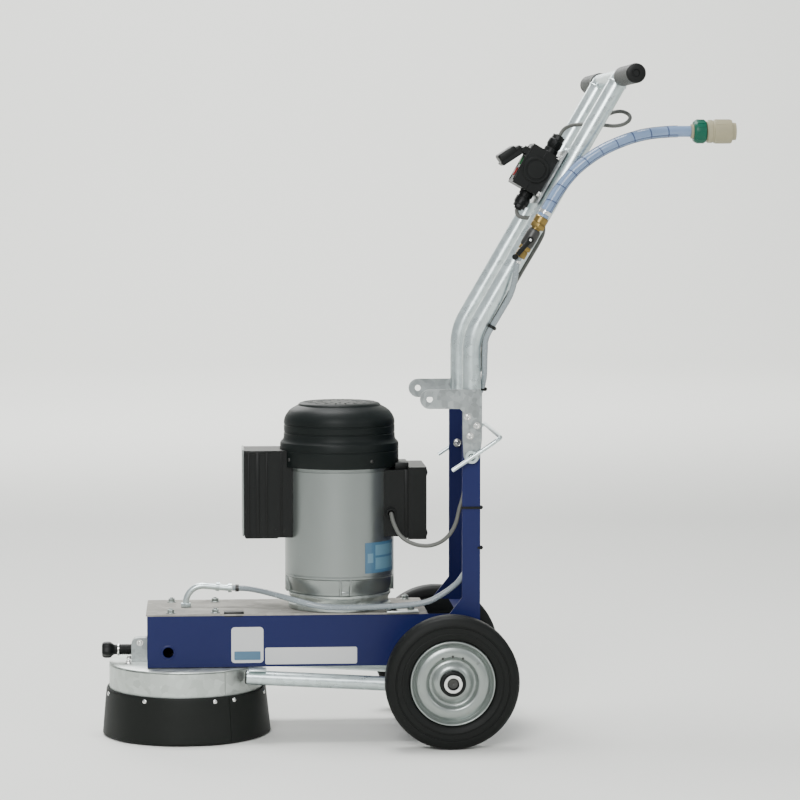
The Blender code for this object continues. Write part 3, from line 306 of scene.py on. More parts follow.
def blendColours(tree, factor, first, second):
    node = tree.nodes.new("ShaderNodeMix")
    node.data_type = "RGBA"
    for i, value in ((0, factor), (6, first), (7, second)):
        if isinstance(value, bpy.types.NodeSocket):
            tree.links.new(value, node.inputs[i])
        else:
            node.inputs[i].default_value = value
    return node.outputs[2]


def buildUnevenTone():
    tree, given, result = nodeGroup("unevenTone", [("Colour", "Color", (0.5, 0.5, 0.5, 1)),
        ("Amount", "Float", 0.1), ("Size", "Float", 6.0)], [("Colour", "Color")])
    cloud = addNode(tree, "TexNoise", {"Detail": 5.0, "Roughness": 0.6}, {"Vector": objectSpace(tree),
        "Scale": given["Size"]})
    swing = maths(tree, "SUBTRACT", cloud.outputs["Fac"], 0.5)
    level = maths(tree, "MULTIPLY_ADD", swing, maths(tree, "MULTIPLY", given["Amount"], 3.0), 1.0)
    shifted = addNode(tree, "HueSaturation", links={"Color": given["Colour"], "Value": level})
    tree.links.new(shifted.outputs[0], result["Colour"])
    return tree


def buildFineRelief():
    tree, given, result = nodeGroup("fineRelief", [("Size", "Float", 300.0), ("Stretch", "Vector",
        (1, 1, 1))], [("Height", "Float")])
    spread = addNode(tree, "Mapping", links={"Vector": objectSpace(tree), "Scale": given["Stretch"]})
    grain = addNode(tree, "TexNoise", {"Detail": 3.0, "Roughness": 0.55}, {"Vector": spread.outputs[0],
        "Scale": given["Size"]})
    tree.links.new(grain.outputs["Fac"], result["Height"])
    return tree


def buildZincCrystals():
    tree, given, result = nodeGroup("zincCrystals", [("Colour", "Color", (0.6, 0.6, 0.6, 1)),
        ("Contrast", "Float", 0.2), ("Size", "Float", 90.0)], [("Colour", "Color"), ("Shade", "Float")])
    wobble = addNode(tree, "TexNoise", {"Scale": 60.0, "Detail": 2.0}, {"Vector": objectSpace(tree)})
    bent = addNode(tree, "VectorMath", {1: (0.012, 0.012, 0.012)}, {0: wobble.outputs["Color"],
        2: objectSpace(tree)}, operation="MULTIPLY_ADD")
    cells = addNode(tree, "TexVoronoi", links={"Vector": bent.outputs[0], "Scale": given["Size"]})
    cellTone = addNode(tree, "SeparateColor", links={"Color": cells.outputs["Color"]}).outputs[0]
    swing = maths(tree, "SUBTRACT", cellTone, 0.5)
    level = maths(tree, "MULTIPLY_ADD", swing, given["Contrast"], 1.0)
    shifted = addNode(tree, "HueSaturation", links={"Color": given["Colour"], "Value": level})
    tree.links.new(shifted.outputs[0], result["Colour"])
    tree.links.new(cellTone, result["Shade"])
    return tree


def buildScuffs():
    tree, given, result = nodeGroup("scuffs", [("Size", "Float", 30.0), ("Cover", "Float", 0.2),
        ("Stretch", "Vector", (1, 1, 1))], [("Mask", "Float")])
    spread = addNode(tree, "Mapping", links={"Vector": objectSpace(tree), "Scale": given["Stretch"]})
    marks = addNode(tree, "TexNoise", {"Detail": 8.0, "Roughness": 0.7}, {"Vector": spread.outputs[0],
        "Scale": given["Size"]})
    patches = addNode(tree, "TexNoise", {"Scale": 9.0, "Detail": 2.0}, {"Vector": objectSpace(tree)})
    low = maths(tree, "SUBTRACT", 0.78, given["Cover"])
    cut = addNode(tree, "MapRange", {"To Min": 0.0, "To Max": 1.0}, {"Value": marks.outputs["Fac"],
        "From Min": low, "From Max": maths(tree, "ADD", low, 0.1)})
    where = addNode(tree, "MapRange", {"From Min": 0.45, "From Max": 0.62},
        {"Value": patches.outputs["Fac"]})
    tree.links.new(maths(tree, "MULTIPLY", cut.outputs[0], where.outputs[0]), result["Mask"])
    return tree


def buildFloorDust():
    tree, given, result = nodeGroup("floorDust", [("Reach", "Float", 0.15), ("Amount", "Float", 0.4)],
        [("Mask", "Float")])
    height = addNode(tree, "SeparateXYZ", links={"Vector": objectSpace(tree)}).outputs["Z"]
    fall = maths(tree, "SUBTRACT", 1.0, maths(tree, "DIVIDE", height, given["Reach"]))
    fall.node.use_clamp = True
    cloud = addNode(tree, "TexNoise", {"Scale": 28.0, "Detail": 7.0, "Roughness": 0.68},
        {"Vector": objectSpace(tree)})
    patchy = addNode(tree, "MapRange", {"From Min": 0.35, "From Max": 0.7}, {"Value": cloud.outputs["Fac"]})
    amount = maths(tree, "MULTIPLY", maths(tree, "MULTIPLY", fall, patchy.outputs[0]), given["Amount"])
    tree.links.new(amount, result["Mask"])
    return tree


effects = {"tone": buildUnevenTone(), "relief": buildFineRelief(), "crystals": buildZincCrystals(),
    "scuffs": buildScuffs(), "dust": buildFloorDust()}


def effect(tree, name, **values):
    node = tree.nodes.new("ShaderNodeGroup")
    node.node_tree = effects[name]
    for key, value in values.items():
        if isinstance(value, bpy.types.NodeSocket):
            tree.links.new(value, node.inputs[key])
        else:
            node.inputs[key].default_value = value
    return node.outputs


dustColour = (0.36, 0.35, 0.32, 1)


def makeFinish(name, look):
    material = bpy.data.materials.new(name)
    material.use_nodes = True
    tree = material.node_tree
    shader = tree.nodes["Principled BSDF"]
    colour = effect(tree, "tone", Colour=(*look["colour"], 1), Amount=look.get("drift", 0.05),
        Size=look.get("driftSize", 7.0))["Colour"]
    base, spread = look["rough"]
    relief = effect(tree, "relief", Size=look.get("grain", 400.0), Stretch=look.get("stretch",
        (1, 1, 1)))["Height"]
    roughness = maths(tree, "MULTIPLY_ADD", relief, spread, base - spread / 2)
    if "crystals" in look:
        contrast, size, shine = look["crystals"]
        zinc = effect(tree, "crystals", Colour=colour, Contrast=contrast, Size=size)
        colour = zinc["Colour"]
        roughness = maths(tree, "MULTIPLY_ADD", zinc["Shade"], shine, roughness)
    if "scuff" in look:
        tint, size, cover, stretch = look["scuff"]
        mask = effect(tree, "scuffs", Size=size, Cover=cover, Stretch=stretch)["Mask"]
        colour = blendColours(tree, mask, colour, (*tint, 1))
        roughness = maths(tree, "MULTIPLY_ADD", mask, 0.15, roughness)
    if "dust" in look:
        reach, amount = look["dust"]
        mask = effect(tree, "dust", Reach=reach, Amount=amount)["Mask"]
        colour = blendColours(tree, mask, colour, dustColour)
        roughness = maths(tree, "MULTIPLY_ADD", mask, 0.3, roughness)
    tree.links.new(colour, shader.inputs["Base Color"])
    tree.links.new(roughness, shader.inputs["Roughness"])
    bump = addNode(tree, "Bump", {"Strength": look.get("bump", 0.15), "Distance": 0.0004}, {"Height": relief})
    tree.links.new(bump.outputs[0], shader.inputs["Normal"])
    for key in ("Metallic", "Coat Weight", "Coat Roughness", "IOR", "Transmission Weight",
            "Specular IOR Level"):
        if key in look:
            shader.inputs[key].default_value = look[key]
    return material


# colour in linear light; rough is (middle, spread); scuff is (colour, size, cover, stretch);
# dust is (height, amount)
looks = {
    "bluePaint": {"colour": (0.005, 0.0088, 0.063), "rough": (0.4, 0.1), "grain": 260, "bump": 0.1,
        "drift": 0.07,
        "driftSize": 5, "Coat Weight": 0.06, "Coat Roughness": 0.22, "Specular IOR Level": 0.2,
        "scuff": ((0.014, 0.02, 0.074), 60, 0.12, (0.5, 1, 1.6))},
    "zincSheet": {"colour": (0.5, 0.54, 0.51), "rough": (0.32, 0.12), "Metallic": 0.88, "grain": 500,
        "bump": 0.06,
        "crystals": (0.3, 75, 0.14), "drift": 0.1, "dust": (0.16, 0.15),
        "scuff": ((0.3, 0.31, 0.3), 45, 0.13, (1, 1, 2))},
    "zincPlate": {"colour": (0.33, 0.355, 0.355), "rough": (0.3, 0.12), "Metallic": 0.92, "grain": 450,
        "bump": 0.08,
        "crystals": (0.3, 110, 0.14), "drift": 0.16, "driftSize": 16,
        "scuff": ((0.2, 0.21, 0.21), 45, 0.15, (1, 1, 1))},
    "zincDeck": {"colour": (0.275, 0.266, 0.24), "rough": (0.66, 0.12), "Metallic": 0.0, "grain": 420,
        "bump": 0.08,
        "crystals": (0.3, 60, 0.1), "drift": 0.24, "driftSize": 12, "dust": (0.3, 0.1),
        "Specular IOR Level": 0.06,
        "scuff": ((0.18, 0.172, 0.15), 40, 0.16, (0.6, 1, 1))},
    "zincTube": {"colour": (0.58, 0.66, 0.66), "rough": (0.27, 0.08), "Metallic": 0.86, "grain": 600,
        "bump": 0.05,
        "crystals": (0.16, 95, 0.08), "drift": 0.06, "dust": (0.35, 0.08),
        "scuff": ((0.4, 0.44, 0.44), 50, 0.12, (1, 1, 0.5))},
    "brightSteel": {"colour": (0.72, 0.72, 0.7), "rough": (0.22, 0.12), "Metallic": 1.0, "grain": 700,
        "stretch": (1, 1, 0.2), "bump": 0.06, "drift": 0.05, "dust": (0.12, 0.15)},
    "darkSteel": {"colour": (0.052, 0.052, 0.05), "rough": (0.42, 0.16), "Metallic": 0.8, "grain": 500,
        "bump": 0.1,
        "drift": 0.15, "dust": (0.15, 0.15)},
    "castGrey": {"colour": (0.255, 0.278, 0.268), "rough": (0.3, 0.1), "Metallic": 0.85, "grain": 380,
        "bump": 0.1,
        "stretch": (1, 1, 0.35), "drift": 0.05, "dust": (0.34, 0.12),
        "scuff": ((0.16, 0.17, 0.165), 36, 0.13, (1, 1, 0.4))},
    "rimGrey": {"colour": (0.27, 0.3, 0.285), "rough": (0.3, 0.12), "Metallic": 0.75, "grain": 420,
        "bump": 0.08,
        "drift": 0.12, "driftSize": 16, "dust": (0.22, 0.16),
        "scuff": ((0.13, 0.14, 0.135), 60, 0.19, (1, 1, 1))},
    "blackPlastic": {"colour": (0.005, 0.0058, 0.0054), "rough": (0.42, 0.12), "grain": 900,
        "bump": 0.16, "drift": 0.12,
        "driftSize": 9, "Specular IOR Level": 0.18, "scuff": ((0.014, 0.014, 0.013), 70, 0.13, (1, 1, 1))},
    "cowlPlastic": {"colour": (0.004, 0.0062, 0.0057), "rough": (0.48, 0.1), "grain": 700, "bump": 0.1,
        "drift": 0.14,
        "driftSize": 8, "Specular IOR Level": 0.16,
        "scuff": ((0.012, 0.015, 0.014), 55, 0.13, (1, 1, 0.4))},
    "tyreRubber": {"colour": (0.0048, 0.0056, 0.005), "rough": (0.55, 0.16), "grain": 650, "bump": 0.22,
        "drift": 0.14,
        "driftSize": 18, "Specular IOR Level": 0.16, "scuff": ((0.017, 0.018, 0.016), 80, 0.15, (1, 1, 1))},
    "skirtRubber": {"colour": (0.006, 0.0074, 0.0062), "rough": (0.52, 0.14), "grain": 500, "bump": 0.2,
        "drift": 0.12,
        "driftSize": 9, "Specular IOR Level": 0.18,
        "scuff": ((0.016, 0.018, 0.015), 50, 0.13, (1, 1, 0.3))},
    "gripRubber": {"colour": (0.062, 0.065, 0.062), "rough": (0.5, 0.14), "grain": 900, "bump": 0.25,
        "drift": 0.14,
        "Specular IOR Level": 0.2, "scuff": ((0.022, 0.022, 0.021), 70, 0.2, (1, 1, 1))},
    # painted shade: a dead black with no shine, used only for the sheet that paints the shadow of the open
    # tray top behind the deck
    "paintedShadeBlack": {"colour": (0.006, 0.0068, 0.007), "rough": (0.85, 0.1), "grain": 500, "bump": 0.2,
        "drift": 0.12,
        "Specular IOR Level": 0.0},
    "castIron": {"colour": (0.08, 0.08, 0.076), "rough": (0.55, 0.2), "Metallic": 0.7, "grain": 450,
        "bump": 0.3,
        "drift": 0.15, "dust": (0.2, 0.3)},
    "brass": {"colour": (0.235, 0.165, 0.055), "rough": (0.34, 0.14), "Metallic": 1.0, "grain": 500,
        "bump": 0.06,
        "drift": 0.16, "scuff": ((0.11, 0.085, 0.045), 60, 0.18, (1, 1, 1))},
    "copper": {"colour": (0.45, 0.19, 0.08), "rough": (0.38, 0.14), "Metallic": 1.0, "grain": 900,
        "stretch": (1, 1, 0.1), "bump": 0.3, "drift": 0.12},
    "hosePlastic": {"colour": (0.185, 0.27, 0.42), "rough": (0.22, 0.1), "grain": 250, "bump": 0.05,
        "drift": 0.12,
        "Transmission Weight": 0.18, "IOR": 1.4, "Coat Weight": 0.2},
    "feedPlastic": {"colour": (0.27, 0.31, 0.33), "rough": (0.26, 0.1), "grain": 250, "bump": 0.05,
        "drift": 0.1,
        "Transmission Weight": 0.2, "IOR": 1.4, "Coat Weight": 0.2},
    "hoseYarn": {"colour": (0.022, 0.04, 0.105), "rough": (0.5, 0.1), "grain": 900, "bump": 0.1},
    "cableSheath": {"colour": (0.098, 0.1, 0.092), "rough": (0.46, 0.12), "grain": 700, "bump": 0.1,
        "drift": 0.08,
        "Specular IOR Level": 0.25},
    "couplingPlastic": {"colour": (0.275, 0.25, 0.158), "rough": (0.46, 0.12), "grain": 500, "bump": 0.1,
        "drift": 0.08,
        "scuff": ((0.2, 0.18, 0.12), 70, 0.16, (1, 1, 1))},
    "greenPlastic": {"colour": (0.0012, 0.08, 0.047), "rough": (0.38, 0.1), "grain": 500, "bump": 0.08,
        "drift": 0.08,
        "Specular IOR Level": 0.25},
    "startGreen": {"colour": (0.01, 0.12, 0.03), "rough": (0.35, 0.08), "grain": 500, "bump": 0.05,
        "drift": 0.05},
    "stopRed": {"colour": (0.22, 0.008, 0.008), "rough": (0.35, 0.08), "grain": 500, "bump": 0.05,
        "drift": 0.05},
    "labelPale": {"colour": (0.5, 0.51, 0.51), "rough": (0.4, 0.08), "grain": 300, "bump": 0.03,
        "drift": 0.05,
        "scuff": ((0.34, 0.34, 0.33), 60, 0.16, (0.5, 1, 1)), "Coat Weight": 0.2},
    "labelBlue": {"colour": (0.05, 0.125, 0.2), "rough": (0.38, 0.08), "grain": 300, "bump": 0.03,
        "drift": 0.08,
        "Coat Weight": 0.2},
    "labelTeal": {"colour": (0.11, 0.22, 0.29), "rough": (0.38, 0.08), "grain": 300, "bump": 0.03,
        "drift": 0.08,
        "Coat Weight": 0.2},
}
finishes = {name: makeFinish(name, look) for name, look in looks.items()}
print("finishes made:", len(finishes))


# the two free cords: the mains lead and the inlet hose
glandOut, switchY = 0.0351, -0.0625
lead = {"radius": 0.0033, "gland": 0.372, "plugTop": 0.388, "plugOut": -0.0035, "plugY": -0.08}
leadRoute = through([onHandle(lead["gland"] + reach, glandOut, switchY) for reach in (0.0003,
    0.008)] + [onHandle(*p) for p in ((0.389, 0.0335, -0.064), (0.399, 0.0262, -0.074),
    (0.4082, 0.0125, -0.088), (0.417, -0.004, -0.095), (0.4245, -0.0179, -0.0955), (0.432, -0.034, -0.092),
    (0.443, -0.0475, -0.0845), (0.456, -0.0545, -0.073), (0.4645, -0.0515, -0.06), (0.4645, -0.039, -0.05),
    (0.456, -0.027, -0.046), (0.444, -0.018, -0.0475), (0.431, -0.0115, -0.055), (0.419, -0.0065, -0.067),
    (0.407, -0.004, -0.0765))] + [onHandle(lead["plugTop"] + reach, lead["plugOut"], lead["plugY"])
    for reach in (0.008, 0.0003)], 0.005)
mainsLead = runOf("mains_lead", leadRoute, lead["radius"], detail=4)

plugTop = lead["plugTop"]
plugBody = turned("plug_body", [(0, plugTop), (0.0048, plugTop), (0.0056, plugTop - 0.002),
    (0.0052, plugTop - 0.004), (0.0064, plugTop - 0.006), (0.006, plugTop - 0.008),
    (0.007, plugTop - 0.01), (0.0066, plugTop - 0.012), (0.0078, plugTop - 0.0145),
    (0.0125, plugTop - 0.0195), (0.0138, plugTop - 0.0225), (0.0138, plugTop - 0.032),
    (0.013, plugTop - 0.0332), (0.013, plugTop - 0.0345), (0.0138, plugTop - 0.0358),
    (0.0138, plugTop - 0.0485), (0.0128, plugTop - 0.05), (0, plugTop - 0.05)], sides=40, closed=False)
pins = [block("pin", (x - 0.0011, y - 0.0024, plugTop - 0.054), (x + 0.0011, y + 0.0024, plugTop - 0.0495),
    0.0004) for x, y in ((-0.0058, 0), (0.0058, 0))]
plugPlace = Matrix.Translation(onHandle(0, lead["plugOut"], lead["plugY"])) @ handleTurn
mainsPlug = settle(plugBody, plugPlace)
plugPins = settle(joined("plug_pins", pins), plugPlace)
showAs(mainsLead, "handle", "cableSheath", "grey_cable", "supply_lead")
showAs(mainsPlug, "handle", "blackPlastic", "black_plastic", "supply_plug")
showAs(plugPins, "handle", "brass", "brass")

tail = {"radius": 0.0095, "valveY": -0.152, "start": 0.2343, "couplingX": 0.406, "couplingZ": 1.043}
tailRoute = through([onHandle(tail["start"], 0, tail["valveY"]), onHandle(tail["start"] + 0.0117, 0,
    tail["valveY"])] + [at(x, tail["valveY"], z) for x, z in ((0.183, 0.945), (0.208, 0.9755),
    (0.2365, 0.999), (0.2653, 1.016), (0.2992, 1.03), (0.3315, 1.0385), (0.3655, 1.0423), (0.39, 1.043),
    (tail["couplingX"], tail["couplingZ"]))], 0.006)
inletHose = runOf("inlet_hose", tailRoute, tail["radius"], detail=7)


def besideRoute(route, radius, turn):
    # points that run beside a route, at one side of it
    line, side = [], Vector((0, 1, 0))
    for p, q in zip(route, route[1:]):
        ahead = (q - p).normalized()
        side = (side - ahead * side.dot(ahead)).normalized()
        line.append(p + (side * math.cos(turn) + ahead.cross(side) * math.sin(turn)) * radius)
    return line


threads = [pipe("thread", besideRoute(tailRoute[1:-1], tail["radius"] - 0.0001, math.radians(a)), 0.0007,
    detail=2) for a in (40, 84, -96, -140)]
hoop = turned("hoop", [(tail["radius"] - 0.0004, -0.0011), (tail["radius"] + 0.0003, -0.0009),
    (tail["radius"] + 0.0003, 0.0009), (tail["radius"] - 0.0004, 0.0011)], sides=36)
hoopPlaces = []
for i in range(4, len(tailRoute) - 3, 5):
    tilted = (tailRoute[i + 1] - tailRoute[i]).normalized() + Vector((-0.1, 0.18, 0.06))
    hoopPlaces.append(facing(tailRoute[i], tilted))
yarn = joined("hose_yarn", threads + [copies("hoops", hoop, hoopPlaces)])
couplingX = facing(at(tail["couplingX"], tail["valveY"], tail["couplingZ"]), (1, 0, 0))
collar = turned("coupling_collar", [(0.0106, 0.0045), (0.0168, 0.0045), (0.019, 0.0075), (0.0196, 0.0105),
    (0.0196, 0.0215), (0.0188, 0.0245), (0.016, 0.0262), (0.0106, 0.0262)], sides=48)
ribs = copies("collar_ribs", block("rib", (0.0188, -0.0011, 0.0095), (0.0203, 0.0011, 0.0228), 0.0005),
    [Matrix.Rotation(math.tau * i / 16, 4, "Z") for i in range(16)])
collar = settle(joined("coupling_collar", [collar, ribs]), couplingX)
socket = turned("coupling_socket", [(0.0072, 0.0003), (0.012, 0.0003), (0.012, 0.004), (0.01, 0.0262),
    (0.017, 0.0268), (0.0196, 0.029), (0.0196, 0.0355), (0.0187, 0.0365), (0.0187, 0.0385),
    (0.0199, 0.0397), (0.0205, 0.066), (0.0198, 0.069), (0.015, 0.07), (0.0146, 0.0765), (0.012, 0.0765),
    (0.0112, 0.07), (0.0112, 0.048), (0.0072, 0.044)], sides=48)
socketRibs = copies("socket_ribs", block("rib", (0.019, -0.0008, 0.0415), (0.0205, 0.0008, 0.065), 0.0004),
    [Matrix.Rotation(math.tau * i / 20, 4, "Z") for i in range(20)])
socket = settle(joined("coupling_socket", [socket, socketRibs]), couplingX)
showAs(inletHose, "handle", "hosePlastic", "clear_hose", "water_tail")
showAs(yarn, "handle", "hoseYarn", "clear_hose")
showAs(socket, "handle", "couplingPlastic", "beige_plastic", "water_coupling")
showAs(collar, "handle", "greenPlastic", "green_button")
print("mains lead and inlet hose made")


# hose and motor cable, each one run across the handle's fold
hosePoints = [at(*p) for p in ((-0.3694, 0.0, 0.2519), (-0.361, 0.0, 0.2515), (-0.342, -0.007, 0.2512),
    (-0.32, -0.029, 0.25), (-0.29, -0.06, 0.246), (-0.2542, -0.086, 0.239), (-0.22, -0.0955, 0.232),
    (-0.182, -0.097, 0.2295), (-0.13, -0.0975, 0.23), (-0.0825, -0.098, 0.232), (-0.0395, -0.099, 0.2372),
    (-0.0136, -0.1, 0.249), (0.0122, -0.101, 0.2675), (0.026, -0.103, 0.2847), (0.036, -0.105, 0.305),
    (0.0405, -0.106, 0.34), (0.041, -0.106, 0.4), (0.041, -0.104, 0.48), (0.041, -0.098, 0.52),
    (0.0415, -0.0885, 0.55), (0.043, -0.0862, 0.575), (0.049, -0.0905, 0.59), (0.057, -0.101, 0.605),
    (0.06, -0.114, 0.625), (0.06, -0.124, 0.648), (0.0602, -0.1275, 0.67))]
hosePoints += [onHandle(*p) for p in ((0.012, -0.0222, -0.1275), (0.05, -0.0216, -0.1275),
    (0.085, -0.0215, -0.131), (0.105, -0.018, -0.1395), (0.125, -0.0105, -0.1475),
    (0.14, -0.0035, -0.1512), (0.149, 0, -0.152), (0.1557, 0, -0.152))]
cablePoints = [onHandle(0.232 - reach, glandOut, switchY) for reach in (0.0003, 0.006)]
cablePoints += [onHandle(*p) for p in ((0.2205, 0.031, -0.0675), (0.219, 0.025, -0.077),
    (0.223, 0.015, -0.088), (0.23, 0.003, -0.0985), (0.229, -0.009, -0.099), (0.216, -0.019, -0.101),
    (0.195, -0.021, -0.106), (0.15, -0.02, -0.111), (0.1, -0.0198, -0.1125), (0.05, -0.0198, -0.1125),
    (0.012, -0.0204, -0.1125))]
cablePoints += [at(*p) for p in ((0.0585, -0.112, 0.67), (0.057, -0.107, 0.65), (0.052, -0.1, 0.632),
    (0.044, -0.098, 0.612), (0.037, -0.098, 0.594), (0.0342, -0.0981, 0.575), (0.033, -0.102, 0.55),
    (0.031, -0.112, 0.52), (0.03, -0.1165, 0.49), (0.0285, -0.1195, 0.455), (0.024, -0.124, 0.425),
    (0.017, -0.1262, 0.401), (0.011, -0.1262, 0.377), (0.0, -0.124, 0.357), (-0.016, -0.118, 0.343),
    (-0.0376, -0.11, 0.3365), (-0.062, -0.1015, 0.34), (-0.082, -0.0935, 0.353), (-0.093, -0.086, 0.3745),
    (-0.096, -0.078, 0.388), (-0.096, -0.0723, 0.388))]
feedHose = pipe("feed_hose", through(hosePoints, 0.005), 0.005, detail=5)
motorCable = pipe("motor_cable", through(cablePoints, 0.005), 0.0035, detail=4)
for run, finish, slotName, halves in ((feedHose, "feedPlastic", "clear_hose",
        ("hose_chassis", "hose_handle")), (motorCable, "cableSheath", "grey_cable", ("motor_cable_column",
        "motor_cable_handle"))):
    run.data.materials.clear()
    run.data.materials.append(finishes[finish])
    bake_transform(run)
    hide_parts(*halves)
print("feed hose and motor cable made")


# wheels, axle and struts
wheel = {"radius": 0.114, "middleY": 0.187, "halfWidth": 0.0228, "bore": 0.0728, "rim": 0.072, "hub": 0.022}


def makeWheel(side, label):
    place = facing(at(0, side * wheel["middleY"], wheel["radius"]), (0, side, 0), 90)
    r, h, bore, rim, hub = (wheel[key] for key in ("radius", "halfWidth", "bore", "rim", "hub"))
    half = [(r, 0.0006), (r, 0.011), (r - 0.0012, 0.015), (r - 0.004, 0.019), (r - 0.008, 0.0213),
        (r - 0.0135, h - 0.0002), (r - 0.016, h), (r - 0.0168, h - 0.0009), (r - 0.0182, h - 0.0009),
        (r - 0.019, h), (r - 0.027, h), (r - 0.0276, h - 0.0007), (r - 0.0288, h - 0.0007),
        (r - 0.0296, h - 0.0003), (bore + 0.0045, 0.0208), (bore + 0.0018, 0.0188), (bore, 0.016)]
    tyre = turned("solid_tyre_" + label, [(r, -0.0006)] + half + [(radius, -z) for radius,
        z in reversed(half[1:])], sides=96)
    settle(tyre, place)
    showAs(tyre, "wheel_" + label, "tyreRubber", "tyre", "tyre_" + label)

    dish = [(rim, -0.019), (rim, 0.0186), (rim - 0.0008, 0.0195), (rim - 0.002, 0.0196),
        (rim - 0.003, 0.0186), (rim - 0.0038, 0.014), (rim - 0.0048, 0.0104), (rim - 0.0066, 0.0088),
        (rim - 0.0084, 0.0094), (rim - 0.01, 0.012), (rim - 0.0124, 0.0138), (0.052, 0.015),
        (0.047, 0.015), (0.0444, 0.014), (0.0424, 0.0112), (0.0408, 0.0074), (0.0388, 0.0058),
        (0.0366, 0.006), (0.034, 0.0078), (0.031, 0.0104), (0.0275, 0.0128), (0.0245, 0.0138),
        (hub + 0.0004, 0.0138), (hub + 0.0004, 0.005), (0.03, 0.0046), (0.037, 0.0026), (0.0415, 0.004),
        (0.047, 0.011), (0.059, 0.01), (rim - 0.006, 0.0058), (rim - 0.0034, 0.003), (rim - 0.003, -0.019)]
    pressing = turned("rim_pressing_" + label, dish, sides=96, sharp=50)
    dimple = turned("dimple", [(0, 0.0158), (0.0014, 0.0158), (0.0021, 0.015), (0.0021, 0.013),
        (0, 0.013)], sides=16, closed=False)
    dots = copies("rim_dots_" + label, dimple, [turnBy(a) @ Matrix.Translation((0.0455, 0, 0.0))
        for a in (-22, 0, 22)])
    settle(pressing, place)
    settle(dots, place)
    showAs(pressing, "wheel_" + label, "rimGrey", "grey_paint", "rim_" + label)
    showAs(dots, "wheel_" + label, "darkSteel", "grey_paint")

    bush = turned("wheel_bush_" + label, [(hub, -0.024), (hub, 0.0208), (hub - 0.0012, 0.0222),
        (hub - 0.003, 0.0228), (0.0172, 0.0228), (0.0166, 0.022), (0.016, 0.022), (0.016, 0.0232),
        (0.0104, 0.0232), (0.0104, -0.05), (0.015, -0.05), (0.015, -0.024)], sides=64)
    settle(bush, place)
    showAs(bush, "wheel_" + label, "blackPlastic", "black_plastic")

    # bright washer and the end of the axle, which stays still
    washer = turned("washer", [(0.0155, 0.024), (0.0155, 0.0252), (0.0147, 0.0257), (0.0108, 0.0257),
        (0.0102, 0.0252), (0.0102, 0.024)], sides=56)
    end = turned("axle_end", [(0, 0.0176), (0.0016, 0.0188), (0.0022, 0.019), (0.0086, 0.019),
        (0.0096, 0.0182), (0.0096, 0.011), (0, 0.011)], sides=40, closed=False)
    settle(washer, place)
    settle(end, place)
    return washer, end


washers, ends = zip(*(makeWheel(side, label) for side, label in ((-1, "near"), (1, "far"))))
axleRod = turned("axle_rod", [(0, 0.2005), (0.0096, 0.2005), (0.0096, -0.2005), (0, -0.2005)], sides=40,
    closed=False)
settle(axleRod, facing(at(0, 0, wheel["radius"]), (0, 1, 0)))
axleWashers = joined("axle_washers", list(washers))
axleBody = joined("axle_bar", [axleRod] + list(ends))
showAs(axleWashers, "frame", "brightSteel", "steel")
showAs(axleBody, "frame", "darkSteel", "steel", "axle")
strut = {"radius": 0.0125, "y": 0.1, "from": (-0.3462, 0.1112), "to": (0.03, 0.0895)}
struts = [pipe("strut", [at(strut["from"][0], side * strut["y"], strut["from"][1]), at(strut["to"][0],
    side * strut["y"], strut["to"][1])], strut["radius"], detail=8, caps=False, wall=0.002)
    for side in (-1, 1)]
ears = [settle(block("ear", (0.003, -0.0205, -0.003), (0.034, 0.008, 0.0002), 0.0009),
    Matrix.Translation(at(strut["from"][0], side * strut["y"], 0.1266)) @ Matrix.Diagonal((1, -side, 1,
    1))) for side in (-1, 1)]
for ear in ears:
    tidyMesh(ear)
showAs(joined("axle_struts", struts + ears), "frame", "zincTube", "galvanised", "axle_strut_near",
    "axle_strut_far")
strutPlugs = []
for side in (-1, 1):
    for end, way in (("from", -1), ("to", 1)):
        plug = turned("plug", [(0, 0.0024), (0.009, 0.0024), (0.0112, 0.0014), (0.0118, 0.0001),
            (0.0104, -0.0001), (0.0104, -0.008), (0, -0.008)], sides=32, closed=False)
        strutPlugs.append(settle(plug, facing(at(strut[end][0], side * strut["y"], strut[end][1]),
            (way, 0, -0.0577 * way))))
showAs(joined("strut_plugs", strutPlugs), "frame", "blackPlastic", "black_plastic")
print("wheels made")


# fasteners
def hexHead(across, height, washerRadius=0.0, threadRadius=0.0, threadOut=0.0):
    # a hexagon head on a washer, its seat at the origin and its top along the upright axis
    parts, seat = [], 0.0
    if washerRadius:
        seat = washerRadius * 0.16
        parts.append(turned("washer", [(washerRadius, 0), (washerRadius, seat * 0.7), (washerRadius * 0.94,
            seat), (across * 0.35, seat), (across * 0.35, 0)], sides=28))
    deselect()
    bpy.ops.mesh.primitive_cylinder_add(vertices=6, radius=across / 2, depth=height,
        location=(0, 0, seat + height / 2))
    head = bpy.context.object
    bpy.ops.object.transform_apply(location=True, rotation=True, scale=True)
    bpy.ops.object.mode_set(mode="EDIT")
    bpy.ops.mesh.select_mode(type="FACE")
    bpy.ops.mesh.select_all(action="DESELECT")
    bpy.ops.object.mode_set(mode="OBJECT")
    for face in head.data.polygons:
        face.select = face.normal.z > 0.9
    bpy.ops.object.mode_set(mode="EDIT")
    bpy.ops.mesh.inset(thickness=across * 0.1)
    bpy.ops.transform.translate(value=(0, 0, height * 0.1))
    bpy.ops.mesh.inset(thickness=across * 0.06)
    bpy.ops.transform.translate(value=(0, 0, -height * 0.12))
    bpy.ops.object.mode_set(mode="OBJECT")
    soften(head, across * 0.03, 2, 35)
    smooth(head, 30)
    parts.append(head)
    if threadRadius:
        parts.append(turned("thread", [(0, seat + height + threadOut), (threadRadius * 0.75,
            seat + height + threadOut), (threadRadius, seat + height + threadOut - threadRadius * 0.3),
            (threadRadius, seat), (0, seat)], sides=20, closed=False))
    return joined("bolt", parts)


def domeHead(radius, height):
    return turned("dome", [(0, height), (radius * 0.45, height * 0.93), (radius * 0.8, height * 0.62),
        (radius, height * 0.2), (radius, 0), (0, 0)], sides=24, closed=False, sharp=45)


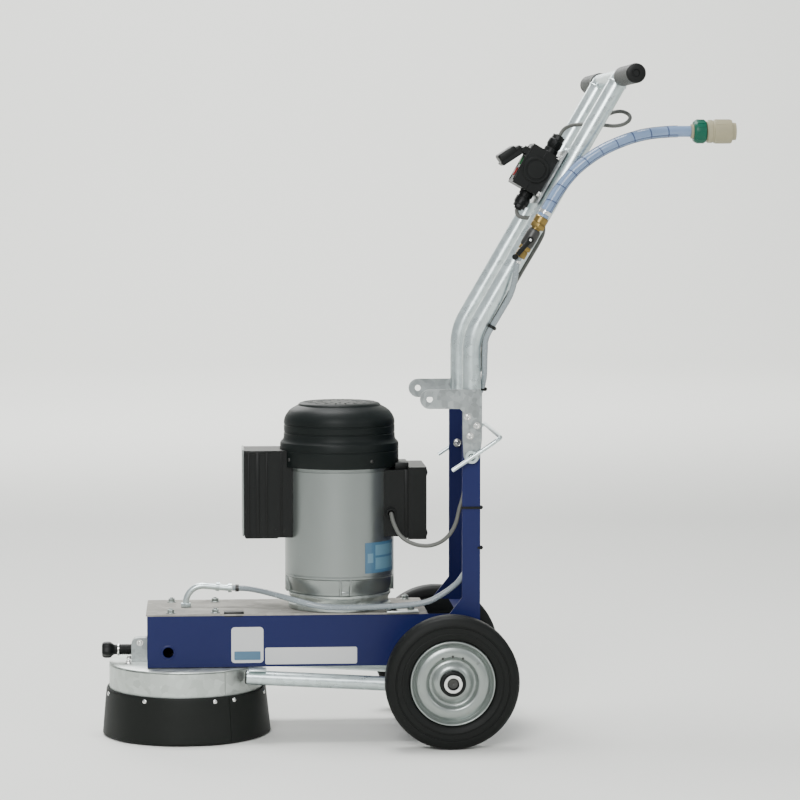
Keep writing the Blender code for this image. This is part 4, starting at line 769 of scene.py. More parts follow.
bolts = {"deck": ((-0.4755, 0.06), (-0.4755, -0.072), (-0.399, 0.06), (-0.399, -0.072), (-0.062, 0.072),
    (-0.062, -0.072)), "deckTop": 0.219}
deckBolts = copies("deck_bolts", hexHead(0.0125, 0.005, 0.0082, 0.003, 0.0022),
    [facing(at(x, y, bolts["deckTop"]), (0, 0, 1), 17 * i) for i, (x, y) in enumerate(bolts["deck"])])
showAs(deckBolts, "frame", "rimGrey", "steel")
motorX = -0.182


# guard: drum, front segment, skirt
head = {"x": -0.45, "radius": 0.1335, "top": 0.1257, "low": 0.065, "wall": 0.003, "hole": 0.0435}
drumPlace = Matrix.Translation(at(head["x"], 0, 0))
drumR, top, wall = head["radius"], head["top"], head["wall"]
lid = turned("lid", [(drumR - 0.0012, top - wall), (drumR, top - 0.0018), (drumR, top - 0.0014),
    (drumR - 0.0004, top - 0.0004), (drumR - 0.0014, top), (head["hole"] + 0.001, top),
    (head["hole"], top - 0.001), (head["hole"], top - wall)], sides=128)
rear = turned("rear", [(drumR, top - wall - 0.0001), (drumR, head["low"] + 0.0006),
    (drumR - 0.0006, head["low"]), (drumR - wall + 0.0006, head["low"]),
    (drumR - wall, head["low"] + 0.0006), (drumR - wall, top - wall - 0.0001)], sides=44, sweep=119.6,
    start=-59.8)
stiffener = turned("stiffener", [(0.062, top + 0.0001), (0.0615, top + 0.0011), (0.06, top + 0.0012),
    (0.0595, top + 0.0001)], sides=64)
drum = settle(joined("guard_drum_shell", [lid, rear, stiffener]), drumPlace)
showAs(drum, "frame", "zincSheet", "galvanised", "guard_drum")
frontTop = top - wall - 0.0003
segment = turned("guard_front_shell", [(drumR + 0.0002, frontTop - 0.0006),
    (drumR + 0.0002, head["low"] + 0.0006), (drumR - 0.0005, head["low"]), (drumR - wall + 0.0006,
    head["low"]), (drumR - wall, head["low"] + 0.0006), (drumR - wall, frontTop),
    (drumR - 0.0006, frontTop)], sides=96, sweep=239.6, start=60.2)
settle(segment, drumPlace)
showAs(segment, "frame", "zincSheet", "galvanised", "guard_front_segment")

skirt = {"inner": 0.1343, "top": 0.082, "flare": 0.1475, "bottom": 0.002, "thick": 0.004, "slit": -58,
    "screws": (15, -15, 53.6, -53.6, -69, 69, 120.5, -120.5, 165, -165), "screwZ": 0.0745}
slope = (skirt["flare"] - skirt["inner"] - skirt["thick"]) / (skirt["top"] - skirt["bottom"])


def skirtOut(z):
    return skirt["inner"] + skirt["thick"] + slope * (skirt["top"] - z)


outside = [(skirtOut(z), z) for z in (0.0795, 0.077, 0.074, 0.07, 0.06, 0.045, 0.03, 0.016, 0.008, 0.004)]
inside = [(skirt["flare"] - skirt["thick"], 0.0028), (0.139, 0.03), (skirt["inner"], 0.064),
    (skirt["inner"], 0.0812)]
band = turned("skirt_band", [(skirt["inner"] + 0.0008, skirt["top"]), (skirtOut(0.082) - 0.0008,
    skirt["top"])] + outside + [(skirt["flare"] - 0.0004, 0.0028), (skirt["flare"] - 0.0014,
    skirt["bottom"]), (skirt["flare"] - skirt["thick"] + 0.0008, skirt["bottom"])] + inside, sides=168,
    sweep=359.66, start=skirt["slit"] + 0.17, sharp=50)
# the free lower edge waves a little, as a worn band does
for corner in band.data.vertices:
    turn = math.atan2(corner.co.y, corner.co.x)
    fall = max(0.0, (0.06 - corner.co.z) / 0.06)
    inward = 0.0007 * fall * (math.sin(5 * turn + 0.6) + 0.6 * math.sin(11 * turn + 2.0) - 1.6)
    grow = 1 + inward / math.hypot(corner.co.x, corner.co.y)
    corner.co.x *= grow
    corner.co.y *= grow
settle(band, drumPlace)
showAs(band, "frame", "skirtRubber", "rubber", "rubber_skirt")
screwOut = skirtOut(skirt["screwZ"]) - 0.0002
skirtScrews = copies("skirt_screws", domeHead(0.004, 0.0019),
    [facing(at(head["x"] + screwOut * math.cos(math.radians(a)), screwOut * math.sin(math.radians(a)),
    skirt["screwZ"]), (math.cos(math.radians(a)), math.sin(math.radians(a)), 0.1))
    for a in skirt["screws"]])
showAs(skirtScrews, "frame", "brightSteel", "steel")
print("guard made")


# motor: collar, barrel and cowl
flange = {"radius": 0.0893, "low": 0.2191, "top": 0.247, "bore": 0.0553}
motorPlace = Matrix.Translation(at(motorX, 0, 0))
collarR = flange["radius"]
collarRing = turned("motor_collar", [(collarR - 0.001, flange["low"]), (collarR, flange["low"] + 0.0012),
    (collarR, 0.2262), (collarR - 0.001, 0.2275), (collarR - 0.003, 0.229), (collarR - 0.0042, 0.2325),
    (collarR - 0.0036, 0.237), (collarR - 0.0012, 0.2405), (collarR - 0.0002, 0.2425), (collarR - 0.0002,
    0.2458), (collarR - 0.0014, flange["top"]), (flange["bore"], flange["top"]),
    (flange["bore"], flange["low"])], sides=112)
settle(collarRing, motorPlace)
showAs(collarRing, "frame", "zincSheet", "galvanised", "motor_flange")

barrelOutline = [(0.03, 0.2474), (0.0862, 0.2474), (0.087, 0.2482), (0.087, 0.25), (0.0884, 0.256),
    (0.0908, 0.265), (0.0926, 0.2715), (0.093, 0.2745), (0.094, 0.2752), (0.095, 0.2762), (0.095, 0.279),
    (0.0944, 0.2796), (0.0944, 0.2806), (0.095, 0.2812), (0.095, 0.46), (0.0944, 0.4606), (0.0944, 0.4618),
    (0.095, 0.4624), (0.095, 0.469), (0.094, 0.47), (0.03, 0.47)]
barrel = turned("barrel", barrelOutline, sides=128, sharp=28)
bosses = []
for angle in (-86, 4, 94, 184):
    turnTo = turnBy(angle)
    for side in (-1, 1):
        bosses.append(settle(block("rib", (0.084, side * 0.0088 - 0.0014, 0.2478),
            (0.0944, side * 0.0088 + 0.0014, 0.2852), 0.0006), turnTo))
    bosses.append(settle(block("boss", (0.082, -0.0075, 0.2476), (0.0912, 0.0075, 0.2556), 0.0012), turnTo))
    bosses.append(settle(block("web", (0.08, -0.0078, 0.255), (0.0905, 0.0078, 0.2846), 0.0008), turnTo))
barrelShell = settle(joined("motor_shell", [barrel] + bosses), motorPlace)
showAs(barrelShell, "frame", "castGrey", "grey_paint", "motor_barrel")
flangeStuds = copies("motor_studs", hexHead(0.0085, 0.005, 0.0, 0.0026, 0.002),
    [motorPlace @ turnBy(a) @ Matrix.Translation((0.0868, 0, 0.2557)) for a in (-86, 4, 94, 184)])
showAs(flangeStuds, "frame", "darkSteel", "steel")

cowl = {"low": 0.467, "top": 0.577}
cowlOutline = [(0, cowl["top"]), (0.056, cowl["top"]), (0.064, 0.5766), (0.069, 0.575), (0.0712, 0.5732),
    (0.0722, 0.5712), (0.076, 0.5694), (0.083, 0.5655), (0.088, 0.5615), (0.093, 0.5545), (0.0955, 0.549),
    (0.0964, 0.545), (0.0966, 0.5395), (0.0958, 0.5385), (0.0958, 0.5372), (0.0966, 0.5362),
    (0.0966, 0.5262), (0.0958, 0.5252), (0.0958, 0.524), (0.0967, 0.523), (0.0968, 0.5165),
    (0.0978, 0.5128), (0.1005, 0.5098), (0.1024, 0.5078), (0.1033, 0.5045), (0.1033, 0.496),
    (0.1026, 0.4952), (0.1026, 0.494), (0.1033, 0.4932), (0.1033, 0.469), (0.1023, cowl["low"]),
    (0.1003, cowl["low"]), (0.1003, 0.504), (0.0936, 0.512), (0.0936, 0.5455), (0.0855, 0.56),
    (0.066, 0.5736), (0, 0.574)]
cowlShell = settle(turned("cowl_shell", cowlOutline, sides=128, closed=False, sharp=28), motorPlace)


def cutWith(piece, cutter):
    pick(piece)
    step = piece.modifiers.new("cut", "BOOLEAN")
    step.operation = "DIFFERENCE"
    step.object = cutter
    bpy.ops.object.modifier_apply(modifier=step.name)
    bpy.data.objects.remove(cutter, do_unlink=True)


airSlots = []
for ring, count, length in ((0.054, 20, 0.015), (0.035, 14, 0.012)):
    airSlots += [motorPlace @ Matrix.Rotation(math.tau * (i + 0.5) / count, 4,
        "Z") @ Matrix.Translation((ring, 0, 0)) @ Matrix.Diagonal((length / 0.015, 1, 1, 1))
        for i in range(count)]
cutWith(cowlShell, copies("slot_cutters", block("slot", (-0.0075, -0.0022, 0.56), (0.0075, 0.0022, 0.59),
    0), airSlots))
smooth(cowlShell, 28)
showAs(cowlShell, "frame", "cowlPlastic", "black_plastic", "fan_cowl")
cowlScrews = copies("cowl_screws", domeHead(0.0032, 0.0016),
    [motorPlace @ turnBy(a) @ facing(Vector((0.1031, 0, 0.48)), (1, 0, 0)) for a in (-60, 30, 120, 210)])
showAs(cowlScrews, "frame", "darkSteel", "steel")

plateLabel = {"start": -65, "sweep": 50, "low": 0.286, "high": 0.339}


def wrapped(name, out, start, sweep, low, high):
    # a thin sheet that follows the motor's side
    piece = turned(name, [(out - 0.0003, low), (out, low), (out, high), (out - 0.0003, high)], sides=24,
        sweep=sweep, start=start)
    return settle(piece, motorPlace)


showAs(wrapped("motor_plate", 0.0954, plateLabel["start"], plateLabel["sweep"], plateLabel["low"],
    plateLabel["high"]), "frame", "labelBlue", "blue_paint")
panels = [wrapped("panel", 0.0956, plateLabel["start"] + a, w, plateLabel["low"] + b,
    plateLabel["low"] + c) for a, w, b, c in ((13, 32, 0.03, 0.048), (13, 32, 0.006, 0.026),
    (3, 7, 0.018, 0.034))]
showAs(joined("motor_plate_panels", panels), "frame", "labelTeal", "blue_paint")
print("motor made")


# capacitor and terminal boxes
capacitor = {"front": -0.3476, "half": 0.047}
capCover = block("capacitor_cover", (capacitor["front"] - 0.004, -0.045, 0.3475),
    (capacitor["front"] - 0.0002, 0.045, 0.4975), 0.0016, 3)
settle(capCover, fromAxle)
showAs(capCover, "frame", "castGrey", "grey_paint")
ridges = []
for side in (-1, 1):
    for x, width in ((-0.342, 0.0035), (-0.328, 0.006), (-0.311, 0.0035), (-0.286, 0.003)):
        y = side * (capacitor["half"] + 0.0006)
        ridges.append(block("ridge", (x, min(y - 0.0012, y + 0.0012), 0.348),
            (x + width, max(y - 0.0012, y + 0.0012), 0.4925), 0.0008))
ridges.append(block("foot", (-0.346, -0.04, 0.3425), (-0.29, 0.04, 0.3452), 0.0012))
ridges.append(block("nub", (-0.325, -0.006, 0.3395), (-0.313, 0.006, 0.3435), 0.002))
ridges.append(block("rim", (-0.3476, -0.0478, 0.4895), (-0.3, 0.0478, 0.495), 0.0012))
ridges.append(block("strapLow", (-0.296, -0.0482, 0.356), (-0.29, 0.0482, 0.36), 0.0008))
capRidges = settle(joined("capacitor_ridges", ridges), fromAxle)
showAs(capRidges, "frame", "blackPlastic", "black_plastic")

boxParts = []
for y in (-0.0612, 0.0612):
    boxParts.append(block("lip", (-0.072, y - 0.001, 0.346), (-0.066, y + 0.001, 0.463), 0.0007))
boxParts.append(block("topBlock", (-0.088, -0.048, 0.46), (-0.064, 0.02, 0.474), 0.002))
boxParts.append(block("lowLip", (-0.072, -0.06, 0.344), (-0.066, 0.06, 0.348), 0.0007))
for y in (-0.05, 0.05):
    for z in (0.352, 0.457):
        boxParts.append(settle(turned("corner", [(0, 0.0016), (0.0052, 0.0016), (0.006, 0.0006),
            (0.006, -0.004), (0, -0.004)], sides=24, closed=False), facing(Vector((-0.034, y, z)),
            (1, 0, 0))))
boxDetail = settle(joined("terminal_detail", boxParts), fromAxle)
showAs(boxDetail, "frame", "blackPlastic", "black_plastic")
lidScrews = copies("lid_screws", domeHead(0.003, 0.0014), [facing(at(-0.0326, y, z), (1, 0, 0))
    for y in (-0.05, 0.05) for z in (0.352, 0.457)])
showAs(lidScrews, "frame", "brightSteel", "steel")
entry = turned("cable_gland", [(0.0037, 0.0118), (0.0058, 0.0118), (0.0072, 0.0105), (0.0084, 0.0098),
    (0.0084, 0.004), (0.0092, 0.0034), (0.0092, -0.0004), (0.0037, -0.0004)], sides=36)
settle(entry, facing(at(-0.096, -0.0602, 0.388), (0, -1, 0)))
showAs(entry, "frame", "blackPlastic", "black_plastic")
print("boxes made")


# chassis: blank labels, notch, rear bracket and a painted shade sheet
plaque = {"badge": (-0.372, -0.317, 0.134, 0.196), "strip": (-0.314, -0.156, 0.131, 0.16), "faceY": -0.088}


def flatLabel(name, extent, lift, border):
    x0, x1, z0, z1 = extent
    deselect()
    y = plaque["faceY"] - lift
    piece = block(name, (x0, y - 0.0004, z0), (x1, y, z1), 0)
    pick(piece)
    bpy.ops.object.mode_set(mode="EDIT")
    bpy.ops.mesh.select_mode(type="EDGE")
    bpy.ops.mesh.select_all(action="DESELECT")
    bpy.ops.object.mode_set(mode="OBJECT")
    for edge in piece.data.edges:
        a, b = (piece.data.vertices[i].co for i in edge.vertices)
        edge.select = abs(a.x - b.x) < 1e-6 and abs(a.z - b.z) < 1e-6
    bpy.ops.object.mode_set(mode="EDIT")
    bpy.ops.mesh.bevel(offset=border, segments=6)
    bpy.ops.object.mode_set(mode="OBJECT")
    return settle(piece, fromAxle)


badge = flatLabel("blank_badge", plaque["badge"], 0.0001, 0.006)
strip = flatLabel("blank_strip", plaque["strip"], 0.0001, 0.003)
showAs(joined("blank_labels", [badge, strip]), "frame", "labelPale", "grey_paint")
badgeMiddle = flatLabel("badge_panel", (-0.367, -0.322, 0.139, 0.154), 0.0005, 0.0015)
showAs(badgeMiddle, "frame", "labelBlue", "blue_paint")

grommet = block("cable_notch", (-0.3845, -0.0884, 0.2132), (-0.35, -0.07, 0.2222), 0.0022, 3)
settle(grommet, fromAxle)
showAs(grommet, "frame", "blackPlastic", "black_plastic")
liftRing = turned("lift_grommet", [(0.01, -0.0036), (0.0128, -0.0006), (0.0128, 0.0004), (0.0118, 0.001),
    (0.0098, 0.001), (0.009, 0.0002), (0.009, -0.0036)], sides=40)
liftRing = copies("lift_grommets", liftRing, [facing(at(-0.48, side * 0.0882, 0.153), (0, side, 0))
    for side in (-1, 1)])
showAs(liftRing, "frame", "bluePaint", "blue_paint")
bracketRear = settle(block("rear_bracket", (-0.105, -0.096, 0.219), (-0.05, -0.07, 0.2222), 0.001),
    fromAxle)
showAs(bracketRear, "frame", "zincSheet", "galvanised")
rearBolts = copies("rear_bolts", hexHead(0.01, 0.0042, 0.007), [facing(at(-0.093, -0.085, 0.2222),
    (0, 0, 1), 10)])
showAs(rearBolts, "frame", "darkSteel", "steel")

# painted shade: a thin dead-black sheet on the tray top behind the deck paints the shadow inside the open
# tray; it is not a real rubber mat
paintedShadeSheet = block("rear_painted_shade_sheet", (-0.033, -0.0845, 0.2156), (0.0165, 0.0845, 0.2172), 0.0006)
settle(paintedShadeSheet, fromAxle)
showAs(paintedShadeSheet, "frame", "paintedShadeBlack", "rubber")
print("chassis details made")


# knob on the guard
knob = {"z": 0.1455, "front": -0.5965, "back": -0.566}
knobPlace = facing(at(knob["front"], 0, knob["z"]), (1, 0, 0))
depthKnob = knob["back"] - knob["front"]
knobBody = turned("knob_grip", [(0, 0.0014), (0.006, 0.001), (0.0092, 0.0002), (0.0124, 0.0008),
    (0.0142, 0.0034), (0.0149, 0.008), (0.0149, 0.0125), (0.0138, 0.016), (0.0104, 0.019),
    (0.0086, 0.0215), (0.0086, 0.0275), (0.0096, 0.029), (0.0098, depthKnob), (0, depthKnob)], sides=100,
    closed=False, sharp=60)
for corner in knobBody.data.vertices:      # five finger hollows, deepest at the wide part
    r = math.hypot(corner.co.x, corner.co.y)
    if r > 0.0087:
        turn = math.atan2(corner.co.y, corner.co.x)
        grip = min(1.0, (r - 0.0087) / 0.004)
        hollow = 1 - grip * 0.155 * (1 - math.cos(5 * turn)) / 2 * (1.0 if corner.co.z < 0.018 else 0.0)
        corner.co.x *= hollow
        corner.co.y *= hollow
settle(knobBody, knobPlace)
stud = turned("knob_stud", [(0, 0.0741), (0.0032, 0.0741), (0.004, 0.0733), (0.004, depthKnob - 0.001),
    (0, depthKnob - 0.001)], sides=24, closed=False)
settle(stud, knobPlace)
showAs(knobBody, "knob", "blackPlastic", "black_plastic", "guard_knob")
showAs(stud, "knob", "brightSteel", "steel")
sleeveOutline = [(0.0046, 0), (0.009, 0), (0.0095, 0.0008)]
for i in range(5):
    z = 0.0022 + i * 0.0036
    sleeveOutline += [(0.0095, z), (0.0087, z + 0.0008), (0.0087, z + 0.0016), (0.0095, z + 0.0024)]
sleeveOutline += [(0.0095, 0.0198), (0.009, 0.0205), (0.0046, 0.0205)]
sleeve = turned("knob_collar", sleeveOutline, sides=48)
settle(sleeve, facing(at(-0.5657, 0, knob["z"]), (1, 0, 0)))
showAs(sleeve, "frame", "blackPlastic", "black_plastic", "knob_sleeve")
bracketBolts = copies("bracket_bolts", hexHead(0.008, 0.0036, 0.0058),
    [facing(at(-0.53, side * 0.0111, 0.1585), (0, side, 0), 8) for side in (-1, 1)] + [facing(at(-0.55,
    -0.026, 0.1258), (0, 0, 1), 25), facing(at(-0.55, 0.026, 0.1258), (0, 0, 1), 5)])
showAs(bracketBolts, "frame", "brightSteel", "steel")
knobRing = turned("knob_ring", [(0.0058, -0.0036), (0.0104, -0.0036), (0.0112, -0.0028), (0.0112, -0.001),
    (0.0104, -0.0003), (0.0058, -0.0003)], sides=48)
settle(knobRing, facing(at(-0.5657, 0, knob["z"]), (1, 0, 0)))
showAs(knobRing, "knob", "brightSteel", "steel")
print("knob made")


# handle tubes, grips and plate screws
handle = {"tube": 0.016, "wall": 0.0022, "y": 0.1205, "bend": 0.1, "foot": 0.577, "cross": 0.0135,
    "gripEnd": 0.295, "gripLength": 0.15}


def handleLine(y):
    reach = handle["bend"] * math.tan(lean["angle"] / 2)
    centre = at(lean["x"] + handle["bend"], y, lean["z"] - reach)
    points = [at(lean["x"], y, handle["foot"])]
    for i in range(13):
        a = lean["angle"] * i / 12
        points.append(centre + handle["bend"] * Vector((-math.cos(a), 0, math.sin(a))))
    return points + [onHandle(handleTop - 0.01, 0, y), onHandle(handleTop - 0.0015, 0, y)]


tubes = [pipe("tube", handleLine(side * handle["y"]), handle["tube"], detail=10, caps=False,
    wall=handle["wall"]) for side in (-1, 1)]
crossBar = pipe("cross", [at(crossX, side * 0.2908, lean["top"]) for side in (-1, 1)], handle["cross"],
    detail=9)
welds = []
for side in (-1, 1):
    welds.append(settle(turned("weld", [(0.0155, -0.015), (0.0172, -0.014), (0.0172, -0.012),
        (0.016, -0.0105), (0.0155, -0.0105)], sides=48, sharp=60), Matrix.Translation(onHandle(handleTop,
        0, side * handle["y"])) @ handleTurn))
    welds.append(settle(turned("foot_ring", [(0.0162, 0), (0.016, 0.0006), (0.0152, 0.0006), (0.0152, 0)],
        sides=40), Matrix.Translation(at(lean["x"], side * handle["y"], handle["foot"]))))
handleTubes = joined("handle_tubes", tubes + [crossBar] + welds)
showAs(handleTubes, "handle", "zincTube", "galvanised", "handle_frame")

gripEnd = handle["gripEnd"]
capOutline = [(0, gripEnd - 0.0022), (0.0052, gripEnd - 0.002), (0.0062, gripEnd - 0.0003),
    (0.0128, gripEnd), (0.0152, gripEnd - 0.001), (0.0165, gripEnd - 0.0036), (0.0165, gripEnd - 0.011),
    (0.016, gripEnd - 0.0118), (0.0137, gripEnd - 0.0118), (0.0137, gripEnd - 0.0038),
    (0, gripEnd - 0.0038)]
gripOutline = [(0.0138, gripEnd - 0.0119), (0.0158, gripEnd - 0.0119), (0.0163, gripEnd - 0.0126)]
for i in range(15):
    y = gripEnd - 0.015 - i * 0.008
    gripOutline += [(0.0164, y), (0.0157, y - 0.001), (0.0157, y - 0.0028), (0.0164, y - 0.0038)]
innerEnd = gripEnd - handle["gripLength"]
gripOutline += [(0.0164, innerEnd + 0.012), (0.0165, innerEnd + 0.006), (0.0165, innerEnd + 0.0012),
    (0.0156, innerEnd), (0.0138, innerEnd)]
for side, label in ((-1, "near"), (1, "far")):
    cap = turned("grip_cap_" + label, capOutline, sides=64, closed=False, sharp=40)
    settle(cap, facing(at(crossX, 0, lean["top"]), (0, side, 0)))
    showAs(cap, "handle", "blackPlastic", "rubber")
    grip = turned("ribbed_grip_" + label, gripOutline, sides=64, sharp=40)
    settle(grip, facing(at(crossX, 0, lean["top"]), (0, side, 0)))
    showAs(grip, "handle", "gripRubber", "rubber", "grip_" + label)

plateScrews = copies("plate_screws", hexHead(0.0088, 0.0036, 0.0062),
    [facing(at(x, side * 0.1399, z), (0, side, 0), 15) for side in (-1, 1) for x, z in ((0.03, 0.56),
    (0.034, 0.5276), (0.0455, 0.545))])
showAs(plateScrews, "handle", "brightSteel", "steel")
print("handle made")


# locking bail and its bolts
bail = {"rod": 0.0035, "y": 0.1483, "start": (0.003, 0.4692), "pivot": (0.0365, 0.4915),
    "end": (0.086, 0.5248), "corner": 0.012}
armY = bail["y"]
startPoint, endPoint = Vector((bail["start"][0], 0, bail["start"][1])), Vector((bail["end"][0], 0,
    bail["end"][1]))
rodLean = (endPoint - startPoint).normalized()
arm = [startPoint, Vector((bail["pivot"][0], 0, bail["pivot"][1])), endPoint - rodLean * bail["corner"]]
bailLine = [Vector((p.x, -armY, p.z)) for p in arm]
for i in range(1, 9):
    a = math.radians(90 * i / 8)
    p = endPoint - rodLean * bail["corner"] * (1 - math.sin(a))
    bailLine.append(Vector((p.x, -armY + bail["corner"] * (1 - math.cos(a)), p.z)))
bailLine += [Vector((p.x, -p.y, p.z)) for p in reversed(bailLine)]
bailRod = pipe("bail_rod", [p + Vector((axleX, 0, 0)) for p in bailLine], bail["rod"], detail=6)
eyes = [settle(turned("eye", [(0.011, 0.1406), (0.011, 0.1458), (0.0105, 0.1463), (0.0064, 0.1463),
    (0.0058, 0.1458), (0.0058, 0.1401), (0.0105, 0.1401)], sides=40),
    facing(at(bail["pivot"][0], 0, bail["pivot"][1]), (0, side, 0))) for side in (-1, 1)]
showAs(joined("bail_wire", [bailRod] + eyes), "bail", "zincTube", "steel", "lock_bail")
pivots = []
for side in (-1, 1):
    pin = turned("pin", [(0, 0.1445), (0.004, 0.1445), (0.005, 0.1437), (0.005, 0.1332), (0.0078, 0.1332),
        (0.0078, 0.132), (0.0068, 0.1312), (0, 0.131)], sides=32, closed=False)
    nut = hexHead(0.0148, 0.0046, 0.0, 0.004, 0.0016)
    settle(nut, facing(Vector((0, 0, 0.133)), (0, 0, -1)))
    both = joined("pin", [pin, nut])
    pivots.append(settle(both, facing(at(bail["pivot"][0], 0, bail["pivot"][1]), (0, side, 0))))
showAs(joined("pivot_pins", pivots), "frame", "brightSteel", "steel", "pivot_bolt_near", "pivot_bolt_far")
print("bail made")


# switch: trim, flap pad and glands
switch = {"low": 0.263, "high": 0.338, "back": 0.0196, "face": 0.0696, "near": -0.1, "far": -0.025}
parts = []
lowT, highT, backN, faceN, nearY, farY = switch.values()
middleT = (lowT + highT) / 2
middleN = (backN + faceN) / 2
roundBoss = turned("boss", [(0, 0.0034), (0.015, 0.0034), (0.016, 0.0026), (0.0172, 0.0026),
    (0.0182, 0.0034), (0.0215, 0.0034), (0.0228, 0.0024), (0.0228, -0.001), (0, -0.001)], sides=56,
    closed=False)
for side, y in ((-1, nearY), (1, farY)):
    pick(roundBoss)
    bpy.ops.object.duplicate(linked=False)
    parts.append(settle(bpy.context.object, facing(Vector((-middleN, y, middleT)), (0, side, 0))))
bpy.data.objects.remove(roundBoss, do_unlink=True)
parts.append(block("seam", (-backN - 0.025, nearY - 0.0008, lowT - 0.0008), (-backN - 0.0228,
    farY + 0.0008, highT + 0.0008), 0.0004))
parts.append(block("front", (-faceN - 0.0016, nearY + 0.006, lowT + 0.004), (-faceN + 0.0004, nearY + 0.01,
    highT - 0.004), 0.0006))
parts.append(block("front", (-faceN - 0.0016, farY - 0.01, lowT + 0.004), (-faceN + 0.0004, farY - 0.006,
    highT - 0.004), 0.0006))
flapOpen = math.radians(27)
flapRoot = onHandle(0.3215, 0.0771, 0)
flapAlong = -leanUp * math.cos(flapOpen) + leanOut * math.sin(flapOpen)
flapAcross = leanOut * math.cos(flapOpen) + leanUp * math.sin(flapOpen)
flapTurn = Matrix((flapAlong, flapAcross, flapAlong.cross(flapAcross))).transposed().to_4x4()
flapPad = block("flap_pad", (0.011, 0.002, -0.0255), (0.0455, 0.017, 0.0255), 0.004, 3)
flapRib = block("rib", (0.002, 0.002, -0.0225), (0.016, 0.012, 0.0225), 0.0034, 3)
flapPad = settle(joined("flap_pad", [flapPad, flapRib]),
    Matrix.Translation(flapRoot + Vector((0, switchY, 0))) @ flapTurn)
showAs(flapPad, "flap", "blackPlastic", "black_plastic")
switchTrim = settle(joined("switch_trim", parts), handlePlace)
showAs(switchTrim, "handle", "blackPlastic", "black_plastic")


def glandNut(start, direction):
    nut = turned("nut", [(0.004, 0.036), (0.006, 0.036), (0.0068, 0.0345), (0.0074, 0.03), (0.011, 0.027),
        (0.012, 0.0255), (0.012, 0.013), (0.0112, 0.0116), (0.0112, 0.0096), (0.0124, 0.009),
        (0.0124, 0.002), (0.011, 0.0004), (0.004, 0.0004)], sides=48)
    flutes = copies("flutes", block("flute", (0.0112, -0.001, 0.0135), (0.0128, 0.001, 0.025), 0.0005),
        [Matrix.Rotation(math.tau * i / 12, 4, "Z") for i in range(12)])
    return settle(joined("nut", [nut, flutes]), facing(start, direction))


glands = joined("gland_nuts", [glandNut(onHandle(switch["high"], glandOut, switchY), leanUp),
    glandNut(onHandle(switch["low"] + 0.001, glandOut, switchY), -leanUp)])
showAs(glands, "handle", "blackPlastic", "black_plastic")
bracketScrews = copies("bracket_screws", hexHead(0.0092, 0.004, 0.0066),
    [facing(onHandle(t, 0.0194, side * handle["y"]), leanOut, 20) for side in (-1, 1)
    for t in (0.266, 0.336)])
showAs(bracketScrews, "handle", "brightSteel", "steel")
print("switch made")


# valve, lever and pipe fittings
valve = {"y": -0.152, "lever": 0.19}
valvePlace = facing(onHandle(0, 0, valve["y"]), leanUp)


def hexNut(name, radius, low, high):
    deselect()
    bpy.ops.mesh.primitive_cylinder_add(vertices=6, radius=radius, depth=high - low,
        location=(0, 0, (high + low) / 2))
    nut = bpy.context.object
    nut.name = name
    bpy.ops.object.transform_apply(location=True, rotation=True, scale=True)
    soften(nut, radius * 0.08, 2, 35)
    smooth(nut)
    return nut


topNut = hexNut("top_nut", 0.0138, 0.213, 0.222)
lowNut = hexNut("low_nut", 0.0118, 0.17, 0.1772)
spigots = turned("spigots", [(0, 0.234), (0.0112, 0.234), (0.0122, 0.2325), (0.0122, 0.2225),
    (0.0106, 0.2215), (0.0106, 0.2125), (0.0082, 0.2118), (0.0082, 0.2095), (0, 0.2095)], sides=36,
    closed=False)
lowSpigot = turned("low_spigot", [(0, 0.1705), (0.008, 0.1705), (0.008, 0.169), (0.0092, 0.168),
    (0.0095, 0.167), (0.0095, 0.1566), (0.0088, 0.156), (0, 0.156)], sides=36, closed=False)
brassParts = settle(joined("valve_fittings", [topNut, lowNut, spigots, lowSpigot]), valvePlace)
ball = turned("ball_housing", [(0, 0.21), (0.0086, 0.21), (0.0104, 0.2085), (0.0112, 0.205), (0.0116, 0.2),
    (0.0116, 0.182), (0.011, 0.1788), (0.01, 0.1772), (0, 0.1772)], sides=44, closed=False)
settle(ball, valvePlace)
showAs(brassParts, "handle", "brass", "brass", "valve_body")
showAs(ball, "handle", "darkSteel", "brass")
clips = copies("hose_clips", turned("clip", [(0.01, 0), (0.0108, 0.0003), (0.0108, 0.0067), (0.01, 0.007)],
    sides=48), [facing(onHandle(0.2395, 0, valve["y"]), leanUp)])
clipTab = block("tab", (-0.003, -0.015, 0.2405), (0.003, -0.0104, 0.2455), 0.0006)
settle(clipTab, Matrix.Translation(onHandle(0, 0, valve["y"])) @ handleTurn)
smallClip = settle(turned("small_clip", [(0.0051, 0), (0.0058, 0.0003), (0.0058, 0.0047), (0.0051, 0.005)],
    sides=36), facing(onHandle(0.1455, -0.0016, -0.1517), leanUp))
showAs(joined("clips", [clips, clipTab, smallClip]), "handle", "brightSteel", "steel")

tilt = math.radians(12)
leverAlong = -leanUp * math.cos(tilt) + leanOut * math.sin(tilt)
leverAcross = leanOut * math.cos(tilt) + leanUp * math.sin(tilt)
leverTurn = Matrix((leverAlong, leverAcross, leverAlong.cross(leverAcross))).transposed().to_4x4()
pivotPoint = onHandle(valve["lever"], 0, valve["y"] - 0.01355)
leverPlace = Matrix.Translation(pivotPoint) @ leverTurn
hub = turned("hub", [(0, 0.0012), (0.0046, 0.0012), (0.0055, 0.0006), (0.0055, -0.0017), (0, -0.0017)],
    sides=32, closed=False)
blade = block("blade", (0.002, -0.004, -0.001), (0.033, 0.004, 0.001), 0.0006)
padEnd = turned("pad", [(0, 0.0017), (0.0044, 0.0017), (0.0052, 0.0008), (0.0052, -0.0008),
    (0.0044, -0.0017), (0, -0.0017)], sides=28, closed=False)
settle(padEnd, Matrix.Translation((0.0385, 0, 0)))
lever = settle(joined("lever_arm", [hub, blade, padEnd]), leverPlace)
showAs(lever, "lever", "blackPlastic", "black_plastic", "valve_lever")
